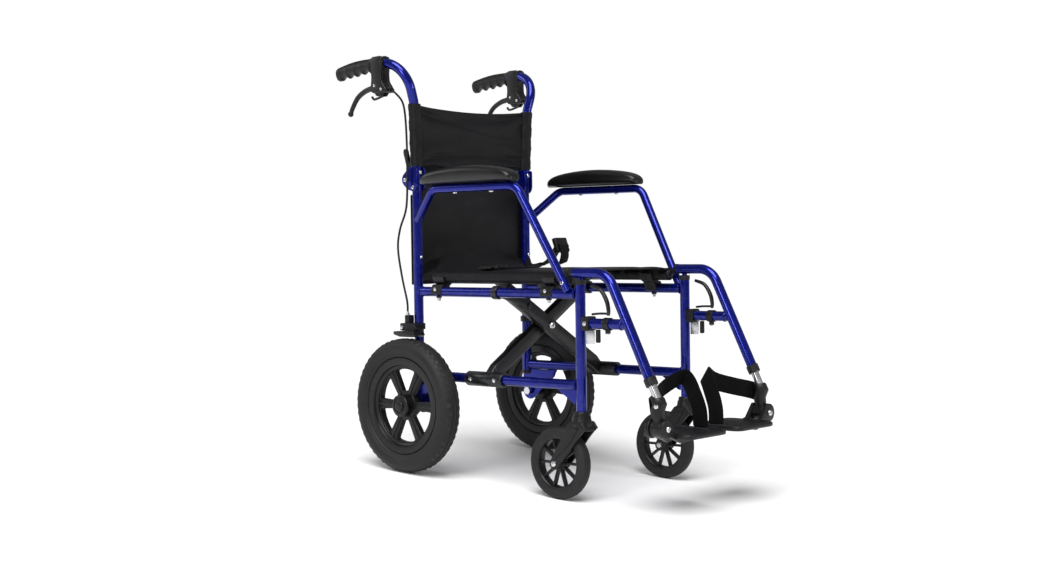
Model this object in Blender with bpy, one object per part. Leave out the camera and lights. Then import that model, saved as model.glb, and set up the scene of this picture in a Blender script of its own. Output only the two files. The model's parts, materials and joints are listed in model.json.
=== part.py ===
"""Folding attendant-propelled wheelchair (transport chair), one object per separate piece.

Every length is in metres. The chair faces -Y, +X is the occupant's left and +Z is up.

The two side frames are rectangles that lean back by FRAME_TILT, with the rear axle as the
datum. Everything except the world origin is drawn in frame coordinates: x is across the
chair, y runs rearward along the rails and z runs up along the uprights, all measured from
the rear axle. One empty, frame_datum, carries that tilt.
"""

from dataclasses import dataclass
from math import atan2, cos, pi, radians, sin, sqrt, tan

import bmesh
import bpy
from mathutils import Matrix, Vector

# ---------------------------------------------------------------- driving dimensions
FRAME_TILT = radians(3.7)
REAR_AXLE_Y = 0.2312  # puts the middle of the whole chair's length over the origin

GAP = 0.0003  # between pieces that touch
RUNNING_GAP = 0.0008  # between pieces that move past each other

# Side frame tubes
TUBE_RADIUS = 0.0111
ARM_TUBE_RADIUS = 0.0095
SIDE_X = 0.185  # half the spacing of the side frames
UPRIGHT_Y = 0.010
POST_Y = -0.4715
SEAT_SIDE_Z = 0.2565
LOWER_SIDE_Z = 0.065
UPRIGHT_BOTTOM_Z = 0.045
UPRIGHT_TOP_Z = 0.505
POST_CLEARANCE = 0.03624  # from the top of the caster wheel up to the post's lower end
POST_TOP_Z = 0.283
POST_BORE_RADIUS = 0.0066
POST_BORE_DEPTH = 0.040
GUSSET_LENGTH = 0.055
GUSSET_DROP = 0.040
PLATE_THICKNESS = 0.004

# Armrests
ARM_X = SIDE_X + 0.033
ARM_Z = 0.4878
ARM_REAR_BEND_Y = -0.0744
ARM_FRONT_BEND_Y = POST_Y + 0.1465
ARM_BEND_RADIUS = 0.035
ARM_REAR_END_Z = 0.413
ARM_FRONT_END = (SIDE_X + 0.012, POST_Y + 0.0225, 0.2600)
PAD_REAR_Y = -0.047
PAD_FRONT_Y = POST_Y + 0.1495
PAD_WIDTH = 0.050
PAD_HEIGHT = 0.039

# Folding upper back
HINGE_Y = 0.034
HINGE_Z = 0.512
HINGE_BOLT_RADIUS = 0.004
CHEEK_THICKNESS = 0.003
CHEEK_FRONT_Y = -0.004
CHEEK_BOTTOM_Z = 0.484
CHEEK_TOP_Z = 0.541
CANE_TOP_X = SIDE_X + 0.008  # the canes splay outward above the hinge
CANE_TOP_Z = 0.6856
HANDLE_X = SIDE_X + 0.046
HANDLE_FRONT_Z = 0.786
HANDLE_BEND_Y = 0.002
HANDLE_END_Y = 0.216
HANDLE_DROP = 0.018
HANDLE_BEND_RADIUS = 0.066
GRIP_LENGTH = 0.1195
GRIP_END_Y = 0.2180
GRIP_HALF_WIDTH = 0.0145
GRIP_SCALLOPS = 4
GRIP_SCALLOP_DEPTH = 0.0022

# Hand brake
HOUSING_FRONT_Y = 0.058
HOUSING_REAR_Y = 0.097
HOUSING_TOP_Z = 0.7955
HOUSING_BOTTOM_Z = 0.711
HOUSING_WIDTH = 0.030
HOUSING_SLOT_WIDTH = 0.0125
LEVER_PIVOT = (0.082, 0.728)
LEVER_RADIUS = 0.0046
LEVER_BALL_RADIUS = 0.0066
HOOK_PIVOT = (0.070, 0.7055)
HOOK_RADIUS = 0.0028
CABLE_RADIUS = 0.0024

# Rear wheel
REAR_WHEEL_RADIUS = 0.1525
REAR_WHEEL_X = SIDE_X + 0.0512
TYRE_HALF_WIDTH = 0.0265
RIM_RADIUS = REAR_WHEEL_RADIUS - 0.0429
RIM_HALF_WIDTH = 0.0185
RIM_STEP_RADIUS = RIM_RADIUS - 0.0161
RIM_STEP_HALF_WIDTH = 0.0130
WINDOW_RADIUS = RIM_RADIUS - 0.0266
WINDOW_FILLET = 0.010
WEB_HALF_WIDTH = 0.0085
HUB_RADIUS = 0.0245
HUB_OUTER_HALF = 0.0275
HUB_INNER_HALF = 0.0230
REAR_SPOKES = 6
REAR_SPOKE_WIDTH = 0.0180
AXLE_RADIUS = 0.0060
AXLE_PLATE_FRONT_Y = -0.085
AXLE_BOSS_RADIUS = 0.021
WHEEL_SEGMENTS = 26
CASTER_SEGMENTS = 20

# Wheel brake
BRAKE_X = SIDE_X + 0.030
BRAKE_BLOCK_REAR_Y = 0.033
BRAKE_BLOCK_FRONT_Y = -0.018
BRAKE_BLOCK_BOTTOM_Z = 0.1685
BRAKE_BLOCK_TOP_Z = 0.1850
BRAKE_PIVOT = (0.0260, 0.1625)
SHOE_LIFT = 0.0030  # open gap between the shoe and the tread
CABLE_STOP_X = SIDE_X + 0.026
CABLE_STOP_Y = 0.0200
CABLE_STOP_Z = 0.1990
CABLE_NUT_HEIGHT = 0.0085

# Caster
CASTER_X = SIDE_X
CASTER_RADIUS = 0.0770
CASTER_HALF_WIDTH = 0.0136
CASTER_TRAIL = 0.0605
CASTER_HUB_RADIUS = 0.0125
CASTER_WINDOW_RADIUS = CASTER_RADIUS - 0.0255
CASTER_RIM_HALF_WIDTH = 0.0100
CASTER_SPOKES = 10
CASTER_SPOKE_WIDTH = 0.0052
CROWN_RADIUS = 0.0225
CROWN_HEIGHT = 0.030
FORK_LEG_THICKNESS = 0.0058
FORK_FOOT_RADIUS = 0.0125
CASTER_BOLT_RADIUS = 0.0040

# Scissor cross brace
BRACE_Y = -0.2115
BRACE_RISE = 0.111  # from the lower side tube to the middle bolt
BRACE_END_SHORT = 0.0477  # how far the box section stops short of the seat tube end
BRACE_DEPTH = 0.0320
BRACE_THICKNESS = 0.0190
BRACE_SPACING = 0.0210  # between the middle planes of the two braces
BRACE_BOLT_RADIUS = 0.0050
SLEEVE_LENGTH = 0.108
SLEEVE_RADIUS = 0.0165
SEAT_TUBE_X = SIDE_X - 0.015
SEAT_TUBE_Z = 0.289
SEAT_TUBE_REAR_Y = -0.033
SEAT_TUBE_FRONT_Y = POST_Y + 0.0295
LINK_LENGTH = 0.110
LINK_ANGLE = radians(-17.2)
LINK_WIDTH = 0.0140
LINK_THICKNESS = 0.0050
LINK_RING_RADIUS = 0.0150
LINK_RING_WIDTH = 0.0150

# Seat and back slings
SLING_THICKNESS = 0.0026
SEAT_PANEL_THICKNESS = 0.0040
SEAT_SAG = 0.010
BACK_PANEL_THICKNESS = 0.0050
BACK_SAG = 0.010
UPPER_SLING_BOTTOM_Z = 0.5430
LOWER_SLING_BOTTOM_Z = 0.272
LOWER_SLING_TOP_Z = 0.551
SADDLE_YS = (-0.056, POST_Y + 0.0865)
SADDLE_WIDTH = 0.030
SADDLE_WALL = 0.0040

# Swing-away hanger and footrest
HANGER_Z = 0.3004
HANGER_REAR_Y = POST_Y + 0.0185
HANGER_BEND_Y = POST_Y - 0.0733
HANGER_BEND_RADIUS = 0.050
LEG_SLOPE = 0.4975  # forward travel of the leg for each unit down
LEG_END_Z = 0.0791
CROSS_Z = 0.1955
CAP_RADIUS = 0.0132
CAP_LENGTH = 0.016
INNER_TUBE_RADIUS = 0.0085
HANGER_BORE_DEPTH = 0.150
INNER_TUBE_INSERT = 0.080
SOCKET_TOP_Z = 0.0500
SOCKET_TOP_RADIUS = 0.0150
SOCKET_FOOT_RADIUS = 0.0105
FOOT_HINGE_Y = POST_Y - 0.2005
FOOT_HINGE_Z = -0.0120
FOOT_KNUCKLE_RADIUS = 0.0165
FOOT_KNUCKLE_WIDTH = 0.024
CLEVIS_RADIUS = 0.0185
CLEVIS_WIDTH = 0.010
PLATE_INNER_X = 0.0180  # leaves room for both plates to turn up as the chair folds
PLATE_OUTER_X = SIDE_X - 0.0270
PLATE_REAR_Y = FOOT_HINGE_Y + 0.0690
PLATE_FRONT_Y = FOOT_HINGE_Y - 0.0575
PLATE_TOP_Z = -0.0260
FOOTPLATE_THICKNESS = 0.0090
PLATE_CORNER = 0.022
RELEASE_PIVOT = (POST_Y - 0.0731, 0.2140)
RELEASE_RADIUS = 0.0036
HEEL_BAND_WIDTH = 0.038
HEEL_BAND_LIFT = 0.0024  # the band's end stands this far off the plate, which turns up without it
HEEL_BAND_THICKNESS = 0.0026

# Seat belt
BELT_WIDTH = 0.040
BELT_THICKNESS = 0.0028

TUBE_SIDES_RESOLUTION = 4
ARC_STEP = radians(15)
SMOOTH_ANGLE = radians(35)

# ---------------------------------------------------------------- derived sizes
BRACE_ANGLE = atan2(BRACE_RISE, SIDE_X)
BRACE_HALF = SIDE_X / cos(BRACE_ANGLE)
BRACE_CENTRE_Z = LOWER_SIDE_Z + BRACE_HALF * sin(BRACE_ANGLE)
CASTER_DROP = (
    REAR_WHEEL_RADIUS - CASTER_RADIUS - (POST_Y + CASTER_TRAIL) * sin(FRAME_TILT)
) / cos(FRAME_TILT)
CASTER_Y = POST_Y + CASTER_TRAIL
POST_BOTTOM_Z = CASTER_RADIUS - CASTER_DROP + POST_CLEARANCE
RIGHT, LEFT = -1, 1


# ---------------------------------------------------------------- scene and materials
def clear_scene():
    for old in list(bpy.data.objects):
        bpy.data.objects.remove(old, do_unlink=True)


def make_material(name, colour, roughness, metallic):
    material = bpy.data.materials.new(name)
    material.use_nodes = True
    shader = material.node_tree.nodes["Principled BSDF"]
    shader.inputs["Base Color"].default_value = (*colour, 1.0)
    shader.inputs["Roughness"].default_value = roughness
    shader.inputs["Metallic"].default_value = metallic
    return material


def make_materials():
    table = {
        "blue_paint": ((0.010, 0.030, 0.420), 0.22, 0.55),
        "black_nylon": ((0.012, 0.012, 0.014), 0.85, 0.0),
        "black_plastic": ((0.018, 0.018, 0.020), 0.50, 0.0),
        "black_rubber": ((0.016, 0.015, 0.016), 0.62, 0.0),
        "black_steel": ((0.016, 0.016, 0.018), 0.42, 0.35),
        "pad_vinyl": ((0.014, 0.014, 0.015), 0.38, 0.0),
        "bright_steel": ((0.720, 0.720, 0.740), 0.24, 1.0),
    }
    return {name: make_material(name, *values) for name, values in table.items()}


@dataclass
class Pivot:
    """An empty on a joint's axis, with its place in frame coordinates."""

    name: str
    origin: Vector
    holder: bpy.types.Object


def make_datum():
    datum = bpy.data.objects.new("frame_datum", None)
    datum.location = (0.0, REAR_AXLE_Y, REAR_WHEEL_RADIUS)
    datum.rotation_euler = (-FRAME_TILT, 0.0, 0.0)
    bpy.context.scene.collection.objects.link(datum)
    return Pivot("frame_datum", Vector((0.0, 0.0, 0.0)), datum)


def make_pivot(name, origin, parent):
    holder = bpy.data.objects.new(name, None)
    holder.parent = parent.holder
    holder.location = Vector(origin) - parent.origin
    bpy.context.scene.collection.objects.link(holder)
    return Pivot(name, Vector(origin), holder)


def place(name, mesh, material, pivot):
    """An object whose mesh, given in frame coordinates, is carried by a pivot."""
    mesh.name = name
    mesh.transform(Matrix.Translation(-pivot.origin))
    mesh.materials.clear()
    mesh.materials.append(material)
    made = bpy.data.objects.new(name, mesh)
    made.parent = pivot.holder
    bpy.context.scene.collection.objects.link(made)
    return made


def combine(target, mesh, operation, name):
    """A Boolean on target. The other shape stays in the scene as a hidden helper."""
    helper = bpy.data.objects.new(name, mesh)
    helper.parent = target.parent
    helper.hide_render = True
    helper.display_type = "WIRE"
    bpy.context.scene.collection.objects.link(helper)
    boolean = target.modifiers.new(name, "BOOLEAN")
    boolean.operation = operation
    boolean.solver = "EXACT"
    boolean.object = helper
    return helper


def add_to(target, mesh, pivot, label):
    mesh.transform(Matrix.Translation(-pivot.origin))
    combine(target, mesh, "UNION", f"{target.name}_{label}_add")


def cut_from(target, mesh, pivot, label):
    mesh.transform(Matrix.Translation(-pivot.origin))
    combine(target, mesh, "DIFFERENCE", f"{target.name}_{label}_cut")


# ---------------------------------------------------------------- shapes
def finish_mesh(bm, name="shape"):
    bmesh.ops.recalc_face_normals(bm, faces=bm.faces)
    mesh = bpy.data.meshes.new(name)
    bm.to_mesh(mesh)
    bm.free()
    mesh.shade_smooth()
    mesh.set_sharp_from_angle(angle=SMOOTH_ANGLE)
    return mesh


def block(low, high, bevel=0.0, segments=1):
    """A box from its lowest to its highest corner."""
    bm = bmesh.new()
    bmesh.ops.create_cube(bm, size=1.0)
    low, high = Vector(low), Vector(high)
    middle = (low + high) / 2
    size = Vector(abs(h - l) for h, l in zip(high, low))
    bmesh.ops.scale(bm, vec=size, verts=bm.verts)
    bmesh.ops.translate(bm, vec=middle, verts=bm.verts)
    if bevel:
        bmesh.ops.bevel(
            bm, geom=bm.edges[:], offset=bevel, segments=segments, affect="EDGES"
        )
    return finish_mesh(bm)


def rod(start, end, radius, sides=16, end_radius=None):
    """A straight round bar, or a cone, between two points."""
    start, end = Vector(start), Vector(end)
    along = end - start
    bm = bmesh.new()
    bmesh.ops.create_cone(
        bm,
        cap_ends=True,
        segments=sides,
        radius1=radius,
        radius2=radius if end_radius is None else end_radius,
        depth=along.length,
    )
    turn = along.to_track_quat("Z", "Y").to_matrix().to_4x4()
    bmesh.ops.transform(
        bm, matrix=Matrix.Translation((start + end) / 2) @ turn, verts=bm.verts
    )
    return finish_mesh(bm)


def ball(centre, radius, sides=10):
    bm = bmesh.new()
    bmesh.ops.create_uvsphere(bm, u_segments=sides, v_segments=6, radius=radius)
    bmesh.ops.translate(bm, vec=Vector(centre), verts=bm.verts)
    return finish_mesh(bm)


def prism(outline, axis, low, high):
    """An outline pushed along x or y. Its points are (y, z) for x and (x, z) for y."""
    bm = bmesh.new()
    ring = []
    for first, second in outline:
        point = (low, first, second) if axis == "x" else (first, low, second)
        ring.append(bm.verts.new(point))
    face = bm.faces.new(ring)
    pushed = bmesh.ops.extrude_face_region(bm, geom=[face])
    moved = [item for item in pushed["geom"] if isinstance(item, bmesh.types.BMVert)]
    shift = Vector((high - low, 0, 0)) if axis == "x" else Vector((0, high - low, 0))
    bmesh.ops.translate(bm, vec=shift, verts=moved)
    return finish_mesh(bm)


def turned(profile, centre, segments=WHEEL_SEGMENTS):
    """A closed (radius, x) outline spun round an axle along x."""
    bm = bmesh.new()
    ring = [bm.verts.new((x, radius, 0.0)) for radius, x in profile]
    edges = [bm.edges.new((a, b)) for a, b in zip(ring, ring[1:] + ring[:1])]
    bmesh.ops.spin(
        bm,
        geom=ring + edges,
        cent=(0.0, 0.0, 0.0),
        axis=(1.0, 0.0, 0.0),
        angle=2 * pi,
        steps=segments,
        use_merge=True,
    )
    bmesh.ops.remove_doubles(bm, verts=bm.verts, dist=1e-6)
    bmesh.ops.translate(bm, vec=Vector(centre), verts=bm.verts)
    return finish_mesh(bm)


def joined(meshes):
    """Several loose shapes in one mesh, to use as one cutter or one addition."""
    bm = bmesh.new()
    for mesh in meshes:
        bm.from_mesh(mesh)
    return finish_mesh(bm)


def arc_points(centre, radius, start, end, steps):
    """Points on a circle in a plane, as (first, second) pairs."""
    turns = [start + (end - start) * i / steps for i in range(steps + 1)]
    return [
        (centre[0] + radius * cos(turn), centre[1] + radius * sin(turn))
        for turn in turns
    ]


def bent_path(corners, radius):
    """A polyline with each inner corner rounded to one bend radius."""
    corners = [Vector(corner) for corner in corners]
    path = [corners[0]]
    for before, corner, after in zip(corners, corners[1:], corners[2:]):
        inward = (before - corner).normalized()
        outward = (after - corner).normalized()
        turn = pi - inward.angle(outward)
        reach = radius * tan(turn / 2)
        centre = corner + (inward + outward).normalized() * (radius / cos(turn / 2))
        first = corner + inward * reach - centre
        last = corner + outward * reach - centre
        steps = max(2, round(turn / ARC_STEP))
        for step in range(steps + 1):
            share = step / steps
            weight_first = sin((1 - share) * turn) / sin(turn)
            weight_last = sin(share * turn) / sin(turn)
            path.append(centre + first * weight_first + last * weight_last)
    path.append(corners[-1])
    return path


def smooth_path(points, per_span):
    """Catmull-Rom points through a short list of chosen points."""
    points = [Vector(point) for point in points]
    padded = [2 * points[0] - points[1], *points, 2 * points[-1] - points[-2]]
    path = []
    for a, b, c, d in zip(padded, padded[1:], padded[2:], padded[3:]):
        for step in range(per_span):
            t = step / per_span
            path.append(
                0.5
                * (
                    2 * b
                    + (c - a) * t
                    + (2 * a - 5 * b + 4 * c - d) * t**2
                    + (3 * b - a - 3 * c + d) * t**3
                )
            )
    path.append(points[-1])
    return path


def tube(path, radius, resolution=TUBE_SIDES_RESOLUTION):
    """A round tube along a path, from a curve with a round bevel and filled ends."""
    curve = bpy.data.curves.new("path", "CURVE")
    curve.dimensions = "3D"
    curve.bevel_depth = radius
    curve.bevel_resolution = resolution
    curve.use_fill_caps = True
    spline = curve.splines.new("POLY")
    spline.points.add(len(path) - 1)
    for point, place_at in zip(spline.points, path):
        point.co = (*place_at, 1.0)
    carrier = bpy.data.objects.new("path", curve)
    mesh = bpy.data.meshes.new_from_object(carrier)
    bpy.data.objects.remove(carrier)
    bpy.data.curves.remove(curve)
    bm = bmesh.new()
    bm.from_mesh(mesh)
    bpy.data.meshes.remove(mesh)
    bmesh.ops.remove_doubles(bm, verts=bm.verts, dist=1e-6)
    return finish_mesh(bm)


def loft(rings):
    """A closed solid through rings that have the same number of points."""
    bm = bmesh.new()
    loops = [[bm.verts.new(point) for point in ring] for ring in rings]
    for near, far in zip(loops, loops[1:]):
        count = len(near)
        for i in range(count):
            bm.faces.new((near[i], near[(i + 1) % count], far[(i + 1) % count], far[i]))
    bm.faces.new(loops[0])
    bm.faces.new(loops[-1])
    return finish_mesh(bm)


def band(stations, width, thickness):
    """A strap through (point, width direction) stations."""
    rings = []
    points = [Vector(point) for point, _ in stations]
    for i, (point, across) in enumerate(stations):
        along = points[min(i + 1, len(points) - 1)] - points[max(i - 1, 0)]
        across = Vector(across).normalized()
        facing = along.cross(across).normalized() * thickness / 2
        half = across * width / 2
        point = Vector(point)
        rings.append(
            [
                point + half + facing,
                point - half + facing,
                point - half - facing,
                point + half - facing,
            ]
        )
    return loft(rings)


# ---------------------------------------------------------------- shared routes
def cane_path(side):
    """Middle line of the folding back tube, from its foot to the end of the handle."""
    return bent_path(
        [
            (side * SIDE_X, UPRIGHT_Y, UPRIGHT_TOP_Z + RUNNING_GAP),
            (side * CANE_TOP_X, UPRIGHT_Y - 0.003, CANE_TOP_Z),
            (side * (HANDLE_X - 0.003), HANDLE_BEND_Y, HANDLE_FRONT_Z),
            (side * HANDLE_X, HANDLE_END_Y, HANDLE_FRONT_Z - HANDLE_DROP),
        ],
        HANDLE_BEND_RADIUS,
    )


def handle_centre_z(y):
    share = (y - HANDLE_BEND_Y) / (HANDLE_END_Y - HANDLE_BEND_Y)
    return HANDLE_FRONT_Z - HANDLE_DROP * share


def arm_path(side):
    return bent_path(
        [
            (side * (SIDE_X + 0.003), UPRIGHT_Y, ARM_REAR_END_Z),
            (side * ARM_X, ARM_REAR_BEND_Y, ARM_Z),
            (side * ARM_X, ARM_FRONT_BEND_Y, ARM_Z),
            (side * ARM_FRONT_END[0], ARM_FRONT_END[1], ARM_FRONT_END[2]),
        ],
        ARM_BEND_RADIUS,
    )


def leg_y(z):
    """Where the hanger leg's middle line is at a height."""
    return HANGER_BEND_Y - (HANGER_Z - z) * LEG_SLOPE


def brace_point(side, along, above=0.0):
    """(x, z) on the brace whose foot is on this side, measured from the middle bolt."""
    x = along * cos(BRACE_ANGLE) - above * sin(BRACE_ANGLE)
    z = along * sin(BRACE_ANGLE) + above * cos(BRACE_ANGLE)
    return -side * x, BRACE_CENTRE_Z + z


def brace_plane_y(side):
    """The brace with its foot on the left frame runs in front of the other one."""
    return BRACE_Y - side * BRACE_SPACING / 2


# ---------------------------------------------------------------- side frame
def build_side_frame(side, label, frame, m):
    x = side * SIDE_X
    upright = place(
        f"rear_upright_{label}",
        tube([(x, UPRIGHT_Y, UPRIGHT_BOTTOM_Z), (x, UPRIGHT_Y, UPRIGHT_TOP_Z)], TUBE_RADIUS),
        m["blue_paint"],
        frame,
    )
    add_to(upright, back_hinge_cheeks(side), frame, "cheeks")
    add_to(upright, back_hinge_bolt(side), frame, "hinge_bolt")

    rail = place(
        f"seat_side_tube_{label}",
        tube([(x, UPRIGHT_Y, SEAT_SIDE_Z), (x, POST_Y, SEAT_SIDE_Z)], TUBE_RADIUS),
        m["blue_paint"],
        frame,
    )
    cut_from(rail, upright_cutter(side), frame, "upright")
    cut_from(rail, post_cutter(side), frame, "post")
    add_to(rail, seat_saddles(side), frame, "saddles")
    add_to(rail, saddle_feet(side), frame, "feet")

    lower = place(
        f"lower_side_tube_{label}",
        tube([(x, UPRIGHT_Y, LOWER_SIDE_Z), (x, POST_Y, LOWER_SIDE_Z)], TUBE_RADIUS),
        m["blue_paint"],
        frame,
    )
    add_to(lower, front_gusset(side), frame, "gusset")
    cut_from(lower, upright_cutter(side), frame, "upright")
    cut_from(lower, post_cutter(side), frame, "post")

    post = place(
        f"front_post_{label}",
        tube([(x, POST_Y, POST_BOTTOM_Z), (x, POST_Y, POST_TOP_Z)], TUBE_RADIUS),
        m["blue_paint"],
        frame,
    )
    bore = rod(
        (x, POST_Y, POST_TOP_Z - POST_BORE_DEPTH),
        (x, POST_Y, POST_TOP_Z + GAP),
        POST_BORE_RADIUS,
        12,
    )
    cut_from(post, bore, frame, "bore")


def upright_cutter(side):
    x = side * SIDE_X
    return rod(
        (x, UPRIGHT_Y, UPRIGHT_BOTTOM_Z - 0.1),
        (x, UPRIGHT_Y, UPRIGHT_TOP_Z + 0.1),
        TUBE_RADIUS + GAP,
        24,
    )


def post_cutter(side):
    x = side * SIDE_X
    return rod(
        (x, POST_Y, POST_BOTTOM_Z - 0.1), (x, POST_Y, POST_TOP_Z + 0.1), TUBE_RADIUS + GAP, 24
    )


def back_hinge_cheeks(side):
    """Two welded cheeks that hold the hinge bolt of the folding back."""
    outline = [
        (CHEEK_FRONT_Y, CHEEK_BOTTOM_Z + 0.012),
        (CHEEK_FRONT_Y + 0.008, CHEEK_BOTTOM_Z),
        (0.028, CHEEK_BOTTOM_Z + 0.006),
        (HINGE_Y + 0.011, HINGE_Z - 0.006),
        (HINGE_Y + 0.011, HINGE_Z + 0.008),
        (0.022, CHEEK_TOP_Z),
        (CHEEK_FRONT_Y, CHEEK_TOP_Z),
    ]
    shapes = []
    for offset in (-1, 1):
        inner = side * SIDE_X + offset * (TUBE_RADIUS - 0.0004)
        outer = inner + offset * CHEEK_THICKNESS
        shapes.append(prism(outline, "x", min(inner, outer), max(inner, outer)))
    return joined(shapes)


def back_hinge_bolt(side):
    reach = TUBE_RADIUS + CHEEK_THICKNESS + 0.0022
    x = side * SIDE_X
    return rod((x - reach, HINGE_Y, HINGE_Z), (x + reach, HINGE_Y, HINGE_Z), HINGE_BOLT_RADIUS, 12)


def front_gusset(side):
    rear_y = POST_Y + GUSSET_LENGTH + TUBE_RADIUS
    outline = [
        (rear_y, LOWER_SIDE_Z - TUBE_RADIUS + 0.001),
        (POST_Y, LOWER_SIDE_Z - TUBE_RADIUS + 0.001),
        (POST_Y, LOWER_SIDE_Z - GUSSET_DROP),
        (POST_Y + TUBE_RADIUS + 0.008, LOWER_SIDE_Z - GUSSET_DROP),
    ]
    x = side * SIDE_X
    return prism(outline, "x", x - PLATE_THICKNESS / 2, x + PLATE_THICKNESS / 2)


def seat_saddles(side):
    """Open cradles on the seat side tube, one near each end, that the seat tube drops into."""
    centre_x = side * SEAT_TUBE_X
    inner = TUBE_RADIUS + SLING_THICKNESS + RUNNING_GAP
    outer = inner + SADDLE_WALL
    shapes = []
    for y in SADDLE_YS:
        outline = arc_points((centre_x, SEAT_TUBE_Z), outer, pi, 2 * pi, 10)
        outline += arc_points((centre_x, SEAT_TUBE_Z), inner, 2 * pi, pi, 10)
        shapes.append(prism(outline, "y", y - SADDLE_WIDTH / 2, y + SADDLE_WIDTH / 2))
    return joined(shapes)


def saddle_feet(side):
    """The feet that stand the cradles on the seat side tube."""
    top = SEAT_TUBE_Z - TUBE_RADIUS - SLING_THICKNESS - RUNNING_GAP - SADDLE_WALL / 4
    low = SEAT_SIDE_Z + TUBE_RADIUS / 2
    outline = [
        (side * (SEAT_TUBE_X - 0.007), top),
        (side * (SIDE_X + 0.003), top),
        (side * (SIDE_X + 0.005), low),
        (side * (SIDE_X - 0.005), low),
        (side * (SEAT_TUBE_X + 0.002), low + 0.003),
    ]
    shapes = [
        prism(outline, "y", y - SADDLE_WIDTH / 2 + 0.001, y + SADDLE_WIDTH / 2 - 0.001)
        for y in SADDLE_YS
    ]
    return joined(shapes)


def build_armrest(side, label, frame, m):
    arm = place(
        f"armrest_tube_{label}", tube(arm_path(side), ARM_TUBE_RADIUS), m["blue_paint"], frame
    )
    x = side * SIDE_X
    cut_from(arm, upright_cutter(side), frame, "upright")
    cut_from(arm, post_cutter(side), frame, "post")
    rail_cutter = rod(
        (x, UPRIGHT_Y, SEAT_SIDE_Z), (x, POST_Y - 0.02, SEAT_SIDE_Z), TUBE_RADIUS + GAP, 24
    )
    cut_from(arm, rail_cutter, frame, "rail")
    place(f"armrest_pad_{label}", armrest_pad(side), m["pad_vinyl"], frame)


def armrest_pad(side):
    """A long pad with a flat underside, thin behind and domed towards the front."""
    stations = 11
    rings = []
    bottom = ARM_Z + ARM_TUBE_RADIUS + GAP
    length = PAD_REAR_Y - PAD_FRONT_Y
    for i in range(stations):
        share = i / (stations - 1)
        y = PAD_REAR_Y - length * (1 - cos(pi * share)) / 2
        along = (PAD_REAR_Y - y) / length
        end_round = sqrt(max(0.0, 1 - (2 * along - 1) ** 8))
        height = 0.012 + (PAD_HEIGHT - 0.012) * sin(pi * min(1.0, along * 0.86 + 0.04)) ** 0.8
        height = max(0.006, height * (0.45 + 0.55 * end_round))
        half = PAD_WIDTH / 2 * (0.55 + 0.45 * end_round)
        ring = []
        for x_share, z_share in (
            (-0.86, 0.0),
            (0.86, 0.0),
            (1.0, 0.30),
            (0.94, 0.68),
            (0.55, 0.94),
            (0.0, 1.0),
            (-0.55, 0.94),
            (-0.94, 0.68),
            (-1.0, 0.30),
        ):
            ring.append((side * ARM_X + half * x_share, y, bottom + height * z_share))
        rings.append(ring)
    return loft(rings)


# ---------------------------------------------------------------- folding upper back
def build_upper_back(side, label, frame, m):
    hinge = make_pivot(f"back_hinge_{label}", (side * SIDE_X, HINGE_Y, HINGE_Z), frame)
    cane = place(f"back_cane_{label}", tube(cane_path(side), TUBE_RADIUS), m["blue_paint"], hinge)
    x = side * SIDE_X
    lug_half = TUBE_RADIUS - 0.0004 - RUNNING_GAP
    lug = prism(
        [
            (UPRIGHT_Y, UPRIGHT_TOP_Z + 0.002),
            (HINGE_Y + 0.004, UPRIGHT_TOP_Z - 0.001),
            (HINGE_Y + 0.009, HINGE_Z),
            (HINGE_Y + 0.004, HINGE_Z + 0.009),
            (UPRIGHT_Y, HINGE_Z + 0.012),
        ],
        "x",
        x - lug_half * 0.6,
        x + lug_half * 0.6,
    )
    add_to(cane, lug, hinge, "lug")
    bolt_hole = rod(
        (x - 0.02, HINGE_Y, HINGE_Z), (x + 0.02, HINGE_Y, HINGE_Z), HINGE_BOLT_RADIUS + GAP, 12
    )
    cut_from(cane, bolt_hole, hinge, "bolt")
    cheek_room = [
        block(
            (x + offset * (TUBE_RADIUS - 0.0004 - RUNNING_GAP), -0.03, UPRIGHT_TOP_Z - 0.01),
            (x + offset * 0.03, 0.06, CHEEK_TOP_Z + RUNNING_GAP),
        )
        for offset in (-1, 1)
    ]
    cut_from(cane, joined(cheek_room), hinge, "cheeks")
    build_back_release(side, label, hinge, m)
    build_handle(side, label, hinge, m)


def build_back_release(side, label, hinge, m):
    pivot_at = (side * SIDE_X, 0.0285, 0.5335)
    pivot = make_pivot(f"back_release_pivot_{label}", pivot_at, hinge)
    x = side * SIDE_X
    outline = [
        (0.0235, 0.5275),
        (0.0330, 0.5255),
        (0.0420, 0.5500),
        (0.0500, 0.5780),
        (0.0460, 0.5850),
        (0.0395, 0.5820),
        (0.0330, 0.5560),
        (0.0245, 0.5400),
    ]
    mesh = prism(outline, "x", x - 0.0045, x + 0.0045)
    place(f"back_release_lever_{label}", mesh, m["black_plastic"], pivot)


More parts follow.
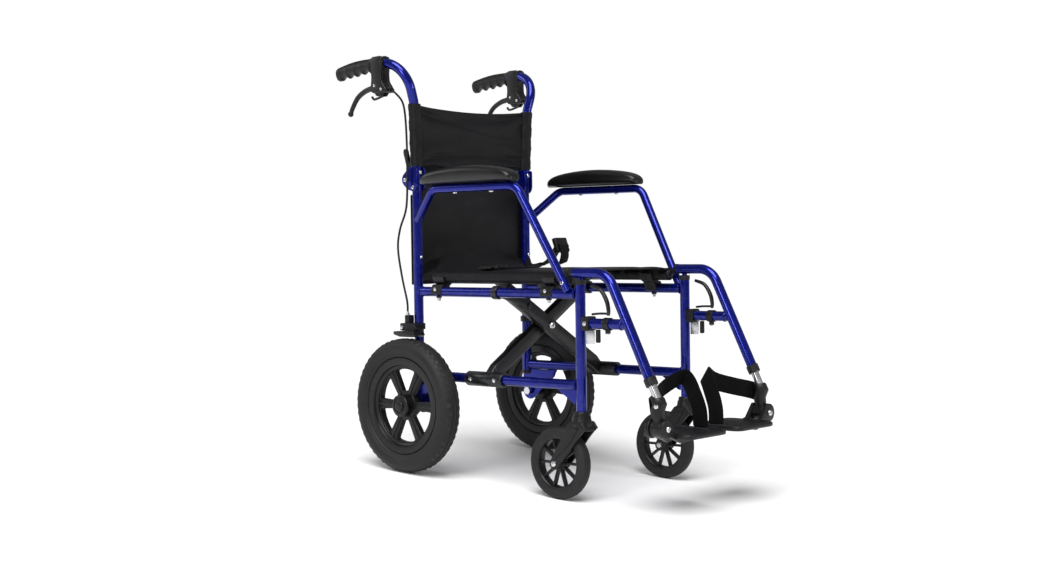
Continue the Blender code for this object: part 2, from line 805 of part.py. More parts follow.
def build_handle(side, label, hinge, m):
    grip = place(f"hand_grip_{label}", hand_grip(side), m["black_rubber"], hinge)
    cut_from(grip, tube(cane_path(side), TUBE_RADIUS + GAP), hinge, "tube")

    x = side * HANDLE_X
    half = HOUSING_WIDTH / 2
    outline = [
        (HOUSING_FRONT_Y + 0.004, HOUSING_TOP_Z),
        (HOUSING_FRONT_Y - 0.001, HOUSING_TOP_Z - 0.010),
        (HOUSING_FRONT_Y + 0.003, 0.755),
        (HOUSING_FRONT_Y + 0.002, 0.738),
        (HOUSING_FRONT_Y - 0.014, HOUSING_BOTTOM_Z + 0.006),
        (HOUSING_FRONT_Y - 0.012, HOUSING_BOTTOM_Z),
        (HOUSING_REAR_Y - 0.008, HOUSING_BOTTOM_Z),
        (HOUSING_REAR_Y, HOUSING_BOTTOM_Z + 0.007),
        (HOUSING_REAR_Y - 0.004, 0.745),
        (HOUSING_REAR_Y, HOUSING_TOP_Z - 0.012),
        (HOUSING_REAR_Y - 0.005, HOUSING_TOP_Z - 0.001),
    ]
    housing = place(
        f"brake_housing_{label}",
        prism(outline, "x", x - half, x + half),
        m["black_plastic"],
        hinge,
    )
    bevel = housing.modifiers.new("rounded edges", "BEVEL")
    bevel.width = 0.003
    bevel.segments = 2
    bevel.limit_method = "ANGLE"
    cut_from(housing, tube(cane_path(side), TUBE_RADIUS + GAP), hinge, "tube")
    slot = block(
        (x - HOUSING_SLOT_WIDTH / 2, 0.0705, HOUSING_BOTTOM_Z - 0.01),
        (x + HOUSING_SLOT_WIDTH / 2, HOUSING_REAR_Y + 0.01, 0.7420),
    )
    cut_from(housing, slot, hinge, "slot")

    lever_pivot = make_pivot(f"brake_lever_pivot_{label}", (x, *LEVER_PIVOT), hinge)
    route = smooth_path(
        [
            (x, LEVER_PIVOT[0] - 0.004, LEVER_PIVOT[1]),
            (x, 0.100, 0.7250),
            (x, 0.128, 0.7195),
            (x, 0.154, 0.7060),
            (x, 0.172, 0.6840),
            (x, 0.1795, 0.6700),
        ],
        3,
    )
    lever = place(
        f"brake_lever_{label}", tube(route, LEVER_RADIUS, 2), m["black_plastic"], lever_pivot
    )
    add_to(lever, ball(route[-1], LEVER_BALL_RADIUS), lever_pivot, "ball")

    hook_pivot = make_pivot(f"brake_lock_pivot_{label}", (x, *HOOK_PIVOT), hinge)
    hook_route = smooth_path(
        [
            (x, HOOK_PIVOT[0] - 0.004, HOOK_PIVOT[1]),
            (x, 0.086, 0.7005),
            (x, 0.099, 0.6990),
            (x, 0.1055, 0.7050),
        ],
        3,
    )
    place(
        f"brake_lock_hook_{label}", tube(hook_route, HOOK_RADIUS, 2), m["black_plastic"], hook_pivot
    )


def hand_grip(side):
    """An arched grip with finger scallops underneath and a squared rear end."""
    stations = 17
    rings = []
    front_y = GRIP_END_Y - GRIP_LENGTH
    for i in range(stations):
        share = i / (stations - 1)
        y = front_y + GRIP_LENGTH * share
        top = 0.0165 + 0.0035 * sin(pi * share) - 0.0045 * share**3
        wave = 0.5 - 0.5 * cos(2 * pi * GRIP_SCALLOPS * min(1.0, share / 0.88))
        bottom = 0.0165 + 0.0008 * sin(pi * share) - GRIP_SCALLOP_DEPTH * wave
        half = GRIP_HALF_WIDTH + 0.0012 * sin(pi * share)
        centre = handle_centre_z(y)
        ring = []
        for turn in range(12):
            angle = 2 * pi * turn / 12
            height = top if sin(angle) > 0 else bottom
            ring.append((side * HANDLE_X + half * cos(angle), y, centre + height * sin(angle)))
        rings.append(ring)
    return loft(rings)


def build_cable(side, label, frame, m):
    """The brake cable, from the hand brake down past the hinge to the wheel brake."""
    route = [
        (side * HANDLE_X, HOUSING_FRONT_Y - 0.0170, 0.7165),
        (side * (SIDE_X + 0.0390), 0.0330, 0.7075),
        (side * (SIDE_X + 0.0270), 0.0260, 0.6900),
        (side * (SIDE_X + 0.0235), 0.0210, 0.6600),
        (side * (SIDE_X + 0.0225), 0.0180, 0.6000),
        (side * (SIDE_X + 0.0225), 0.0180, 0.5300),
        (side * (SIDE_X + 0.0210), 0.0240, 0.4500),
        (side * (SIDE_X + 0.0190), 0.0480, 0.4000),
        (side * (SIDE_X + 0.0190), 0.0560, 0.3550),
        (side * (SIDE_X + 0.0200), 0.0430, 0.2900),
        (side * (SIDE_X + 0.0235), 0.0240, 0.2350),
        (side * CABLE_STOP_X, CABLE_STOP_Y, CABLE_STOP_Z + 0.0095),
    ]
    mesh = tube(smooth_path(route, 2), CABLE_RADIUS, 2)
    place(f"brake_cable_{label}", mesh, m["black_rubber"], frame)


# ---------------------------------------------------------------- rear wheel and its brake
def build_rear_wheel(side, label, frame, m):
    plate = place(f"axle_plate_{label}", axle_plate(side), m["blue_paint"], frame)
    inner = side * (SIDE_X - 0.012)
    outer = side * (REAR_WHEEL_X + HUB_OUTER_HALF + 0.0015)
    add_to(plate, rod((inner, 0, 0), (outer, 0, 0), AXLE_RADIUS), frame, "axle")
    boss_end = side * (REAR_WHEEL_X - HUB_INNER_HALF - RUNNING_GAP)
    add_to(plate, rod((side * SIDE_X, 0, 0), (boss_end, 0, 0), 0.012), frame, "boss")

    axle = make_pivot(f"rear_axle_{label}", (side * REAR_WHEEL_X, 0.0, 0.0), frame)
    profile = [
        (AXLE_RADIUS + RUNNING_GAP, -HUB_INNER_HALF),
        (HUB_RADIUS, -HUB_INNER_HALF),
        (HUB_RADIUS + 0.004, -WEB_HALF_WIDTH),
        (WINDOW_RADIUS - 0.004, -WEB_HALF_WIDTH),
        (RIM_STEP_RADIUS - 0.003, -RIM_STEP_HALF_WIDTH),
        (RIM_STEP_RADIUS, -RIM_HALF_WIDTH),
        (RIM_RADIUS, -RIM_HALF_WIDTH),
        (RIM_RADIUS, RIM_HALF_WIDTH),
        (RIM_STEP_RADIUS, RIM_HALF_WIDTH),
        (RIM_STEP_RADIUS - 0.003, RIM_STEP_HALF_WIDTH),
        (WINDOW_RADIUS - 0.004, WEB_HALF_WIDTH),
        (HUB_RADIUS + 0.004, WEB_HALF_WIDTH),
        (HUB_RADIUS, HUB_OUTER_HALF - 0.003),
        (HUB_RADIUS - 0.003, HUB_OUTER_HALF),
        (AXLE_RADIUS + RUNNING_GAP, HUB_OUTER_HALF),
    ]
    profile = [(radius, side * x) for radius, x in profile]
    centre = (side * REAR_WHEEL_X, 0, 0)
    rim = place(f"rear_rim_{label}", turned(profile, centre), m["black_plastic"], axle)
    windows = wheel_windows(
        centre, REAR_SPOKES, (HUB_RADIUS + 0.008, WINDOW_RADIUS), REAR_SPOKE_WIDTH, WINDOW_FILLET
    )
    cut_from(rim, windows, axle, "windows")

    inner_radius = RIM_RADIUS + GAP
    tread = REAR_WHEEL_RADIUS
    tyre_profile = [
        (inner_radius, -RIM_HALF_WIDTH + 0.002),
        (inner_radius + 0.006, -RIM_HALF_WIDTH - 0.004),
        (inner_radius + 0.019, -TYRE_HALF_WIDTH),
        (tread - 0.012, -TYRE_HALF_WIDTH + 0.003),
        (tread - 0.004, -TYRE_HALF_WIDTH + 0.011),
        (tread, -0.008),
        (tread, 0.008),
        (tread - 0.004, TYRE_HALF_WIDTH - 0.011),
        (tread - 0.012, TYRE_HALF_WIDTH - 0.003),
        (inner_radius + 0.019, TYRE_HALF_WIDTH),
        (inner_radius + 0.006, RIM_HALF_WIDTH + 0.004),
        (inner_radius, RIM_HALF_WIDTH - 0.002),
    ]
    place(f"rear_tyre_{label}", turned(tyre_profile, centre), m["black_rubber"], axle)


def axle_plate(side):
    """The welded plate that carries the rear axle under the rear corner of the frame."""
    under_rail = LOWER_SIDE_Z - TUBE_RADIUS - GAP
    under_upright = UPRIGHT_BOTTOM_Z - GAP
    upright_front = UPRIGHT_Y - TUBE_RADIUS - GAP
    outline = [
        (upright_front, under_upright),
        (upright_front, under_rail),
        (AXLE_PLATE_FRONT_Y, under_rail),
        (AXLE_PLATE_FRONT_Y + 0.006, under_rail - 0.016),
    ]
    outline += arc_points((0.0, 0.0), AXLE_BOSS_RADIUS, radians(235), radians(380), 9)
    outline += [(UPRIGHT_Y + TUBE_RADIUS, 0.026), (UPRIGHT_Y + TUBE_RADIUS, under_upright)]
    x = side * SIDE_X
    return prism(outline, "x", x - PLATE_THICKNESS / 2, x + PLATE_THICKNESS / 2)


def wheel_windows(centre, spokes, radii, spoke_width, fillet):
    """Cutters for the openings between parallel-sided spokes, from one radius to the other."""
    inner, outer = radii
    reach = WEB_HALF_WIDTH * 2
    cutters = []
    for spoke in range(spokes):
        start = 2 * pi * spoke / spokes
        end = 2 * pi * (spoke + 1) / spokes
        outline = []
        for radius, turns in ((outer, (0, 1, 2)), (inner, (1, 0))):
            margin = spoke_width / 2 / radius
            first, last = start + margin, end - margin
            span = max(turns)
            for turn in turns:
                angle = first + (last - first) * turn / span
                outline.append(
                    (centre[1] + radius * cos(angle), centre[2] + radius * sin(angle))
                )
        if fillet:
            outline = rounded(outline, fillet)
        cutters.append(prism(outline, "x", centre[0] - reach, centre[0] + reach))
    return joined(cutters)


def rounded(outline, radius):
    """Chamfers the sharp corners of an outline into two short sides each."""
    result = []
    points = [Vector(point) for point in outline]
    for i, corner in enumerate(points):
        before = points[i - 1] - corner
        after = points[(i + 1) % len(points)] - corner
        if before.angle(after) > radians(140):
            result.append(tuple(corner))
            continue
        reach = min(radius, before.length * 0.45, after.length * 0.45)
        first = corner + before.normalized() * reach
        last = corner + after.normalized() * reach
        middle = corner * 0.35 + (first + last) * 0.325
        result += [tuple(first), tuple(middle), tuple(last)]
    return result


def build_wheel_brake(side, label, frame, m):
    x_inner = SIDE_X + TUBE_RADIUS + GAP
    x_outer = BRAKE_X + 0.009
    outline = [
        (BRAKE_BLOCK_REAR_Y, BRAKE_BLOCK_BOTTOM_Z),
        (BRAKE_BLOCK_REAR_Y, BRAKE_BLOCK_TOP_Z),
        (BRAKE_BLOCK_FRONT_Y + 0.010, BRAKE_BLOCK_TOP_Z),
        (BRAKE_BLOCK_FRONT_Y, BRAKE_BLOCK_BOTTOM_Z + 0.008),
        (BRAKE_BLOCK_FRONT_Y, BRAKE_BLOCK_BOTTOM_Z),
    ]
    low, high = sorted((side * x_inner, side * x_outer))
    bracket = place(
        f"wheel_brake_bracket_{label}", prism(outline, "x", low, high), m["black_plastic"], frame
    )
    low, high = sorted((side * x_inner, side * (x_inner + 0.019)))
    stop = block(
        (low, CABLE_STOP_Y - 0.007, BRAKE_BLOCK_TOP_Z - 0.002),
        (high, CABLE_STOP_Y + 0.007, CABLE_STOP_Z + 0.004),
    )
    add_to(bracket, stop, frame, "stop")
    nut_base = Vector((side * CABLE_STOP_X, CABLE_STOP_Y, CABLE_STOP_Z))
    nut = rod(nut_base, nut_base + Vector((0, 0, CABLE_NUT_HEIGHT)), 0.0042, 8)
    add_to(bracket, nut, frame, "nut")

    pivot = make_pivot(f"wheel_brake_pivot_{label}", (side * BRAKE_X, *BRAKE_PIVOT), frame)
    shoe_low = REAR_WHEEL_RADIUS + SHOE_LIFT
    arm_outline = [
        (BRAKE_PIVOT[0] + 0.006, BRAKE_PIVOT[1] - 0.002),
        (BRAKE_PIVOT[0] + 0.006, BRAKE_BLOCK_BOTTOM_Z - RUNNING_GAP),
        (-0.030, BRAKE_BLOCK_BOTTOM_Z - RUNNING_GAP),
        (-0.036, shoe_low + 0.004),
        (-0.030, shoe_low),
        (0.012, shoe_low),
    ]
    low, high = sorted((side * (BRAKE_X - 0.004), side * (REAR_WHEEL_X + 0.010)))
    place(
        f"wheel_brake_shoe_{label}", prism(arm_outline, "x", low, high), m["black_steel"], pivot
    )


# ---------------------------------------------------------------- caster
def build_caster(side, label, frame, m):
    x = side * CASTER_X
    crown_top = POST_BOTTOM_Z - RUNNING_GAP
    crown_bottom = crown_top - CROWN_HEIGHT
    swivel = make_pivot(f"caster_swivel_{label}", (x, POST_Y, crown_top), frame)
    axle_z = -CASTER_DROP
    fork = place(
        f"caster_fork_{label}",
        rod(
            (x, POST_Y, crown_bottom), (x, POST_Y, crown_top), CROWN_RADIUS, 16, CROWN_RADIUS * 0.72
        ),
        m["black_plastic"],
        swivel,
    )
    leg_inner = CASTER_HALF_WIDTH + 0.0022
    leg_outer = leg_inner + FORK_LEG_THICKNESS
    toe = arc_points((CASTER_Y, axle_z), FORK_FOOT_RADIUS, radians(215), radians(385), 6)
    outline = [
        (POST_Y - CROWN_RADIUS - 0.006, crown_bottom - 0.006),
        (POST_Y - CROWN_RADIUS * 0.75, crown_bottom + 0.012),
        (POST_Y + CROWN_RADIUS * 0.75, crown_bottom + 0.012),
        (POST_Y + CROWN_RADIUS + 0.010, crown_bottom - 0.008),
        *reversed(toe),
        (POST_Y + 0.012, -0.066),
        (POST_Y - 0.006, -0.044),
    ]
    legs = []
    for offset in (-1, 1):
        low, high = sorted((x + offset * leg_inner, x + offset * leg_outer))
        legs.append(prism(outline, "x", low, high))
    bridge = block(
        (x - leg_outer, POST_Y - CROWN_RADIUS * 0.8, crown_bottom - 0.004),
        (x + leg_outer, POST_Y + CROWN_RADIUS * 0.8, crown_bottom + 0.012),
    )
    bolt_reach = leg_outer + 0.0035
    bolt = rod(
        (x - bolt_reach, CASTER_Y, axle_z),
        (x + bolt_reach, CASTER_Y, axle_z),
        CASTER_BOLT_RADIUS,
        12,
    )
    for name, mesh in (("leg_a", legs[0]), ("leg_b", legs[1]), ("bridge", bridge), ("bolt", bolt)):
        add_to(fork, mesh, swivel, name)

    axle = make_pivot(f"caster_axle_{label}", (x, CASTER_Y, axle_z), swivel)
    bore = CASTER_BOLT_RADIUS + RUNNING_GAP
    rim_edge = CASTER_WINDOW_RADIUS + 0.006
    profile = [
        (bore, -CASTER_HALF_WIDTH),
        (CASTER_HUB_RADIUS, -CASTER_HALF_WIDTH),
        (CASTER_HUB_RADIUS + 0.001, -0.0060),
        (CASTER_WINDOW_RADIUS - 0.001, -0.0060),
        (CASTER_WINDOW_RADIUS, -CASTER_RIM_HALF_WIDTH),
        (rim_edge, -CASTER_HALF_WIDTH),
        (CASTER_RADIUS - 0.005, -CASTER_HALF_WIDTH),
        (CASTER_RADIUS, -CASTER_HALF_WIDTH + 0.006),
    ]
    profile += [(radius, -offset) for radius, offset in reversed(profile)]
    centre = (x, CASTER_Y, axle_z)
    tread = turned(profile, centre, CASTER_SEGMENTS)
    wheel = place(f"caster_wheel_{label}", tread, m["black_rubber"], axle)
    radii = (CASTER_HUB_RADIUS + 0.004, CASTER_WINDOW_RADIUS)
    windows = wheel_windows(centre, CASTER_SPOKES, radii, CASTER_SPOKE_WIDTH, 0.0)
    cut_from(wheel, windows, axle, "windows")


# ---------------------------------------------------------------- hanger and footrest
def build_hanger(side, label, frame, m):
    x = side * SIDE_X
    swing = make_pivot(f"hanger_pivot_{label}", (x, POST_Y, HANGER_Z), frame)
    path = bent_path(
        [
            (x, HANGER_REAR_Y, HANGER_Z),
            (x, HANGER_BEND_Y, HANGER_Z),
            (x, leg_y(LEG_END_Z), LEG_END_Z),
        ],
        HANGER_BEND_RADIUS,
    )
    hanger = place(f"hanger_frame_{label}", tube(path, TUBE_RADIUS), m["blue_paint"], swing)
    cross = tube(
        [(x, POST_Y - TUBE_RADIUS - 0.006, CROSS_Z), (x, leg_y(CROSS_Z), CROSS_Z)], TUBE_RADIUS
    )
    add_to(hanger, cross, swing, "cross")
    latch = block(
        (x - 0.0145, POST_Y - TUBE_RADIUS - 0.020, CROSS_Z - 0.0150),
        (x + 0.0145, POST_Y - TUBE_RADIUS - RUNNING_GAP - 0.001, CROSS_Z + 0.0150),
        0.003,
    )
    add_to(hanger, latch, swing, "latch")
    pin = rod(
        (x, POST_Y, POST_TOP_Z - POST_BORE_DEPTH + 0.003),
        (x, POST_Y, HANGER_Z),
        POST_BORE_RADIUS - RUNNING_GAP,
        12,
    )
    add_to(hanger, pin, swing, "pin")
    down = Vector((0.0, -LEG_SLOPE, -1.0)).normalized()
    leg_end = Vector((x, leg_y(LEG_END_Z), LEG_END_Z))
    cap = rod(leg_end - down * CAP_LENGTH * 0.6, leg_end + down * CAP_LENGTH * 0.4, CAP_RADIUS, 14)
    add_to(hanger, cap, swing, "cap")
    bore = rod(
        leg_end - down * HANGER_BORE_DEPTH,
        leg_end + down * 0.05,
        INNER_TUBE_RADIUS + GAP,
        16,
    )
    cut_from(hanger, bore, swing, "bore")

    pivot_y, pivot_z = RELEASE_PIVOT
    release = make_pivot(f"hanger_release_pivot_{label}", (x, pivot_y, pivot_z), swing)
    route = smooth_path(
        [
            (x, pivot_y - 0.0014, CROSS_Z + TUBE_RADIUS + RELEASE_RADIUS + RUNNING_GAP + 0.001),
            (x, pivot_y - 0.0019, pivot_z + 0.0100),
            (x, pivot_y + 0.0031, pivot_z + 0.0300),
            (x, pivot_y + 0.0186, pivot_z + 0.0515),
            (x, pivot_y + 0.0436, pivot_z + 0.0605),
        ],
        3,
    )
    lever = place(
        f"hanger_release_lever_{label}", tube(route, RELEASE_RADIUS, 2), m["black_steel"], release
    )
    finger_ends = [(x, pivot_y - 0.0014, pivot_z + 0.003), (x, pivot_y + 0.0416, pivot_z + 0.001)]
    finger = tube(finger_ends, 0.0022, 2)
    add_to(lever, finger, release, "finger")

    build_footrest(side, label, swing, down, m)


def build_footrest(side, label, swing, down, m):
    x = side * SIDE_X
    leg_end = Vector((x, leg_y(LEG_END_Z), LEG_END_Z))
    slide = make_pivot(f"footrest_slide_{label}", leg_end, swing)
    tube_end_z = SOCKET_TOP_Z - 0.020
    inner = place(
        f"footrest_tube_{label}",
        rod(
            leg_end - down * INNER_TUBE_INSERT,
            (x, leg_y(tube_end_z), tube_end_z),
            INNER_TUBE_RADIUS,
            12,
        ),
        m["bright_steel"],
        slide,
    )
    socket = rod(
        (x, leg_y(SOCKET_TOP_Z) + 0.001, SOCKET_TOP_Z),
        (x, FOOT_HINGE_Y, FOOT_HINGE_Z + 0.006),
        SOCKET_TOP_RADIUS,
        12,
        SOCKET_FOOT_RADIUS,
    )
    add_to(inner, socket, slide, "socket")
    half = FOOT_KNUCKLE_WIDTH / 2
    knuckle = rod(
        (x, FOOT_HINGE_Y - half, FOOT_HINGE_Z),
        (x, FOOT_HINGE_Y + half, FOOT_HINGE_Z),
        FOOT_KNUCKLE_RADIUS,
        16,
    )
    add_to(inner, knuckle, slide, "knuckle")

    hinge = make_pivot(f"footplate_hinge_{label}", (x, FOOT_HINGE_Y, FOOT_HINGE_Z), slide)
    plate = place(f"footplate_{label}", footplate(side), m["black_plastic"], hinge)
    for number, direction in enumerate((-1, 1)):
        near = FOOT_HINGE_Y + direction * (half + RUNNING_GAP)
        far = near + direction * CLEVIS_WIDTH
        add_to(plate, clevis_arm(side, *sorted((near, far))), hinge, f"clevis_{number}")
    build_heel_loop(side, label, slide, m)


def footplate(side):
    inner, outer = PLATE_INNER_X, PLATE_OUTER_X
    corners = [
        (side * outer, PLATE_REAR_Y),
        (side * inner, PLATE_REAR_Y),
        (side * inner, PLATE_FRONT_Y),
        (side * outer, PLATE_FRONT_Y),
    ]
    outline = rounded(corners, PLATE_CORNER)
    bm = bmesh.new()
    ring = [bm.verts.new((px, py, PLATE_TOP_Z - FOOTPLATE_THICKNESS)) for px, py in outline]
    face = bm.faces.new(ring)
    pushed = bmesh.ops.extrude_face_region(bm, geom=[face])
    moved = [item for item in pushed["geom"] if isinstance(item, bmesh.types.BMVert)]
    bmesh.ops.translate(bm, vec=Vector((0, 0, FOOTPLATE_THICKNESS)), verts=moved)
    return finish_mesh(bm)


def clevis_arm(side, low_y, high_y):
    """One cheek of the footplate's hinge, from round the pin to under the plate."""
    plate_bottom = PLATE_TOP_Z - FOOTPLATE_THICKNESS
    round_end = arc_points((SIDE_X, FOOT_HINGE_Z), CLEVIS_RADIUS, radians(100), radians(-120), 9)
    outline = [
        *round_end,
        (PLATE_OUTER_X - 0.022, plate_bottom - 0.002),
        (PLATE_OUTER_X - 0.030, plate_bottom + 0.002),
        (PLATE_OUTER_X - 0.022, PLATE_TOP_Z + 0.002),
        (PLATE_OUTER_X - 0.002, PLATE_TOP_Z + 0.005),
    ]
    outline = [(side * px, pz) for px, pz in outline]
    return prism(outline, "y", low_y, high_y)


def build_heel_loop(side, label, slide, m):
    """A webbing band from the footrest's socket round behind the heel to the plate's inner end."""
    inner = PLATE_INNER_X + 0.010
    route = [
        (SIDE_X - 0.0060, 0.0180, 0.0360, 0.00, 1.0),
        (SIDE_X - 0.0420, 0.0400, 0.0460, -0.10, 1.0),
        (SIDE_X - 0.0950, 0.0560, 0.0610, -0.20, 1.0),
        (inner + 0.0140, 0.0470, 0.0790, -0.45, 0.9),
        (inner + 0.0050, 0.0370, 0.0750, -0.80, 0.5),
        (inner + 0.0030, 0.0240, 0.0480, -1.00, 0.1),
        (inner + 0.0010, 0.0100, 0.0120, -1.00, 0.0),
        (inner + 0.0005, 0.0090, 0.0000, -1.00, 0.0),
        (inner + 0.0005, 0.0090, PLATE_TOP_Z + HEEL_BAND_LIFT, -1.00, 0.0),
    ]
    points = smooth_path(
        [(side * px, FOOT_HINGE_Y + py, pz) for px, py, pz, _, _ in route], 2
    )
    acrosses = smooth_path([(0.0, ay, az) for *_, ay, az in route], 2)
    mesh = band(list(zip(points, acrosses)), HEEL_BAND_WIDTH, HEEL_BAND_THICKNESS)
    place(f"heel_loop_{label}", mesh, m["black_nylon"], slide)


# ---------------------------------------------------------------- folding scissor and seat
def build_brace(side, label, parent, m):
    """The brace whose foot turns round the lower side tube of this side."""
    foot = (side * SIDE_X, brace_plane_y(side), LOWER_SIDE_Z)
    pivot = make_pivot(f"brace_foot_{label}", foot, parent)
    y = brace_plane_y(side)
    half = BRACE_THICKNESS / 2
    tube_from, tube_to = -BRACE_HALF + 0.004, BRACE_HALF - BRACE_END_SHORT
    outline = [
        brace_point(side, tube_from, -BRACE_DEPTH / 2),
        brace_point(side, tube_to, -BRACE_DEPTH / 2),
        brace_point(side, tube_to + 0.006, 0.0),
        brace_point(side, tube_to, BRACE_DEPTH / 2),
        brace_point(side, tube_from + 0.030, BRACE_DEPTH / 2),
        brace_point(side, tube_from + 0.008, BRACE_DEPTH / 2 - 0.004),
    ]
    brace = place(
        f"cross_brace_{label}", prism(outline, "y", y - half, y + half), m["black_steel"], pivot
    )
    seat_x, seat_z = -side * SEAT_TUBE_X, SEAT_TUBE_Z
    root_low = brace_point(side, tube_to - 0.020, -BRACE_DEPTH / 2 + 0.009)
    root_high = brace_point(side, tube_to - 0.020, BRACE_DEPTH / 2)
    direction = atan2(seat_z - root_high[1], (seat_x - root_high[0]))
    wing = TUBE_RADIUS - GAP
    lug = [
        root_low,
        (seat_x + wing * cos(direction - pi / 2), seat_z + wing * sin(direction - pi / 2)),
        (seat_x + wing * cos(direction + pi / 2), seat_z + wing * sin(direction + pi / 2)),
        root_high,
    ]
    if side > 0:
        lug = [
            root_low,
            (seat_x + wing * cos(direction + pi / 2), seat_z + wing * sin(direction + pi / 2)),
            (seat_x + wing * cos(direction - pi / 2), seat_z + wing * sin(direction - pi / 2)),
            root_high,
        ]
    add_to(brace, prism(lug, "y", y - half * 0.8, y + half * 0.8), pivot, "lug")
    x = side * SIDE_X
    sleeve = rod(
        (x, y - SLEEVE_LENGTH / 2, LOWER_SIDE_Z),
        (x, y + SLEEVE_LENGTH / 2, LOWER_SIDE_Z),
        SLEEVE_RADIUS,
        16,
    )
    add_to(brace, sleeve, pivot, "sleeve")
    bore = rod(
        (x, y - SLEEVE_LENGTH, LOWER_SIDE_Z),
        (x, y + SLEEVE_LENGTH, LOWER_SIDE_Z),
        TUBE_RADIUS + RUNNING_GAP,
        16,
    )
    cut_from(brace, bore, pivot, "bore")
    seat_room = rod(
        (seat_x, y - 0.03, seat_z), (seat_x, y + 0.03, seat_z), TUBE_RADIUS + GAP, 24
    )
    cut_from(brace, seat_room, pivot, "seat")

    reach = BRACE_SPACING + BRACE_THICKNESS / 2 + 0.004
    if side == RIGHT:
        bolt = rod(
            (0.0, y + half + 0.004, BRACE_CENTRE_Z),
            (0.0, y - reach, BRACE_CENTRE_Z),
            BRACE_BOLT_RADIUS,
            12,
        )
        add_to(brace, bolt, pivot, "bolt")
    else:
        hole = rod(
            (0.0, y - 0.02, BRACE_CENTRE_Z),
            (0.0, y + 0.02, BRACE_CENTRE_Z),
            BRACE_BOLT_RADIUS + GAP,
            12,
        )
        cut_from(brace, hole, pivot, "hole")

    seat_label = "left" if side == RIGHT else "right"
    seat_tube = tube(
        [(seat_x, SEAT_TUBE_REAR_Y, seat_z), (seat_x, SEAT_TUBE_FRONT_Y, seat_z)], TUBE_RADIUS
    )
    place(f"seat_tube_{seat_label}", seat_tube, m["black_steel"], pivot)
    return pivot


def build_link(side, label, frame, m):
    """The steadying link from the seat side tube to the face of the brace that reaches it."""
    away = BRACE_THICKNESS / 2 + RUNNING_GAP + LINK_THICKNESS / 2
    y = brace_plane_y(-side) + side * away
    pivot = make_pivot(f"link_pivot_{label}", (side * SIDE_X, y, SEAT_SIDE_Z), frame)
    x = side * SIDE_X
    ring = place(
        f"brace_link_{label}",
        rod(
            (x, y - LINK_RING_WIDTH / 2, SEAT_SIDE_Z),
            (x, y + LINK_RING_WIDTH / 2, SEAT_SIDE_Z),
            LINK_RING_RADIUS,
            16,
        ),
        m["black_steel"],
        pivot,
    )
    ux, uz = -side * cos(LINK_ANGLE), sin(LINK_ANGLE)
    nx, nz = -uz, ux
    outline = []
    for along, across in (
        (0.004, 1),
        (0.004, -1),
        (LINK_LENGTH, -1),
        (LINK_LENGTH + LINK_WIDTH * 0.35, -0.5),
        (LINK_LENGTH + LINK_WIDTH * 0.35, 0.5),
        (LINK_LENGTH, 1),
    ):
        wide = across * LINK_WIDTH / 2
        outline.append((x + ux * along + nx * wide, SEAT_SIDE_Z + uz * along + nz * wide))
    bar = prism(outline, "y", y - LINK_THICKNESS / 2, y + LINK_THICKNESS / 2)
    add_to(ring, bar, pivot, "bar")
    bore = rod((x, y - 0.03, SEAT_SIDE_Z), (x, y + 0.03, SEAT_SIDE_Z), TUBE_RADIUS + RUNNING_GAP, 16)
    cut_from(ring, bore, pivot, "bore")


def build_seat_sling(pivot, m):
    """Fabric seat that wraps both seat tubes and sags a little in the middle."""
    outer = TUBE_RADIUS + SLING_THICKNESS
    top = SEAT_TUBE_Z + outer
    samples = 8
    upper = []
    for i in range(samples + 1):
        x = -SEAT_TUBE_X + 2 * SEAT_TUBE_X * i / samples
        upper.append((x, top - SEAT_SAG * (1 - (x / SEAT_TUBE_X) ** 2)))
    outline = upper + [(x, z - SEAT_PANEL_THICKNESS) for x, z in reversed(upper)]
    front, rear = SEAT_TUBE_FRONT_Y + 0.0005, SEAT_TUBE_REAR_Y - 0.0005
    sling = place("seat_sling", prism(outline, "y", front, rear), m["black_nylon"], pivot)
    for label, side in (("right", RIGHT), ("left", LEFT)):
        x = side * SEAT_TUBE_X
        wrap = rod((x, front, SEAT_TUBE_Z), (x, rear, SEAT_TUBE_Z), outer, 16)
        add_to(sling, wrap, pivot, f"wrap_{label}")
    for label, side in (("right", RIGHT), ("left", LEFT)):
        x = side * SEAT_TUBE_X
        core = rod(
            (x, front - 0.02, SEAT_TUBE_Z), (x, rear + 0.02, SEAT_TUBE_Z), TUBE_RADIUS + GAP, 16
        )
        cut_from(sling, core, pivot, f"core_{label}")
        y = brace_plane_y(-side)
        room = block(
            (side * (SEAT_TUBE_X - 0.055), y - BRACE_THICKNESS / 2 - 0.003, SEAT_TUBE_Z - 0.05),
            (side * (SEAT_TUBE_X + 0.030), y + BRACE_THICKNESS / 2 + 0.003, SEAT_TUBE_Z + 0.0065),
        )
        cut_from(sling, room, pivot, f"lug_{label}")


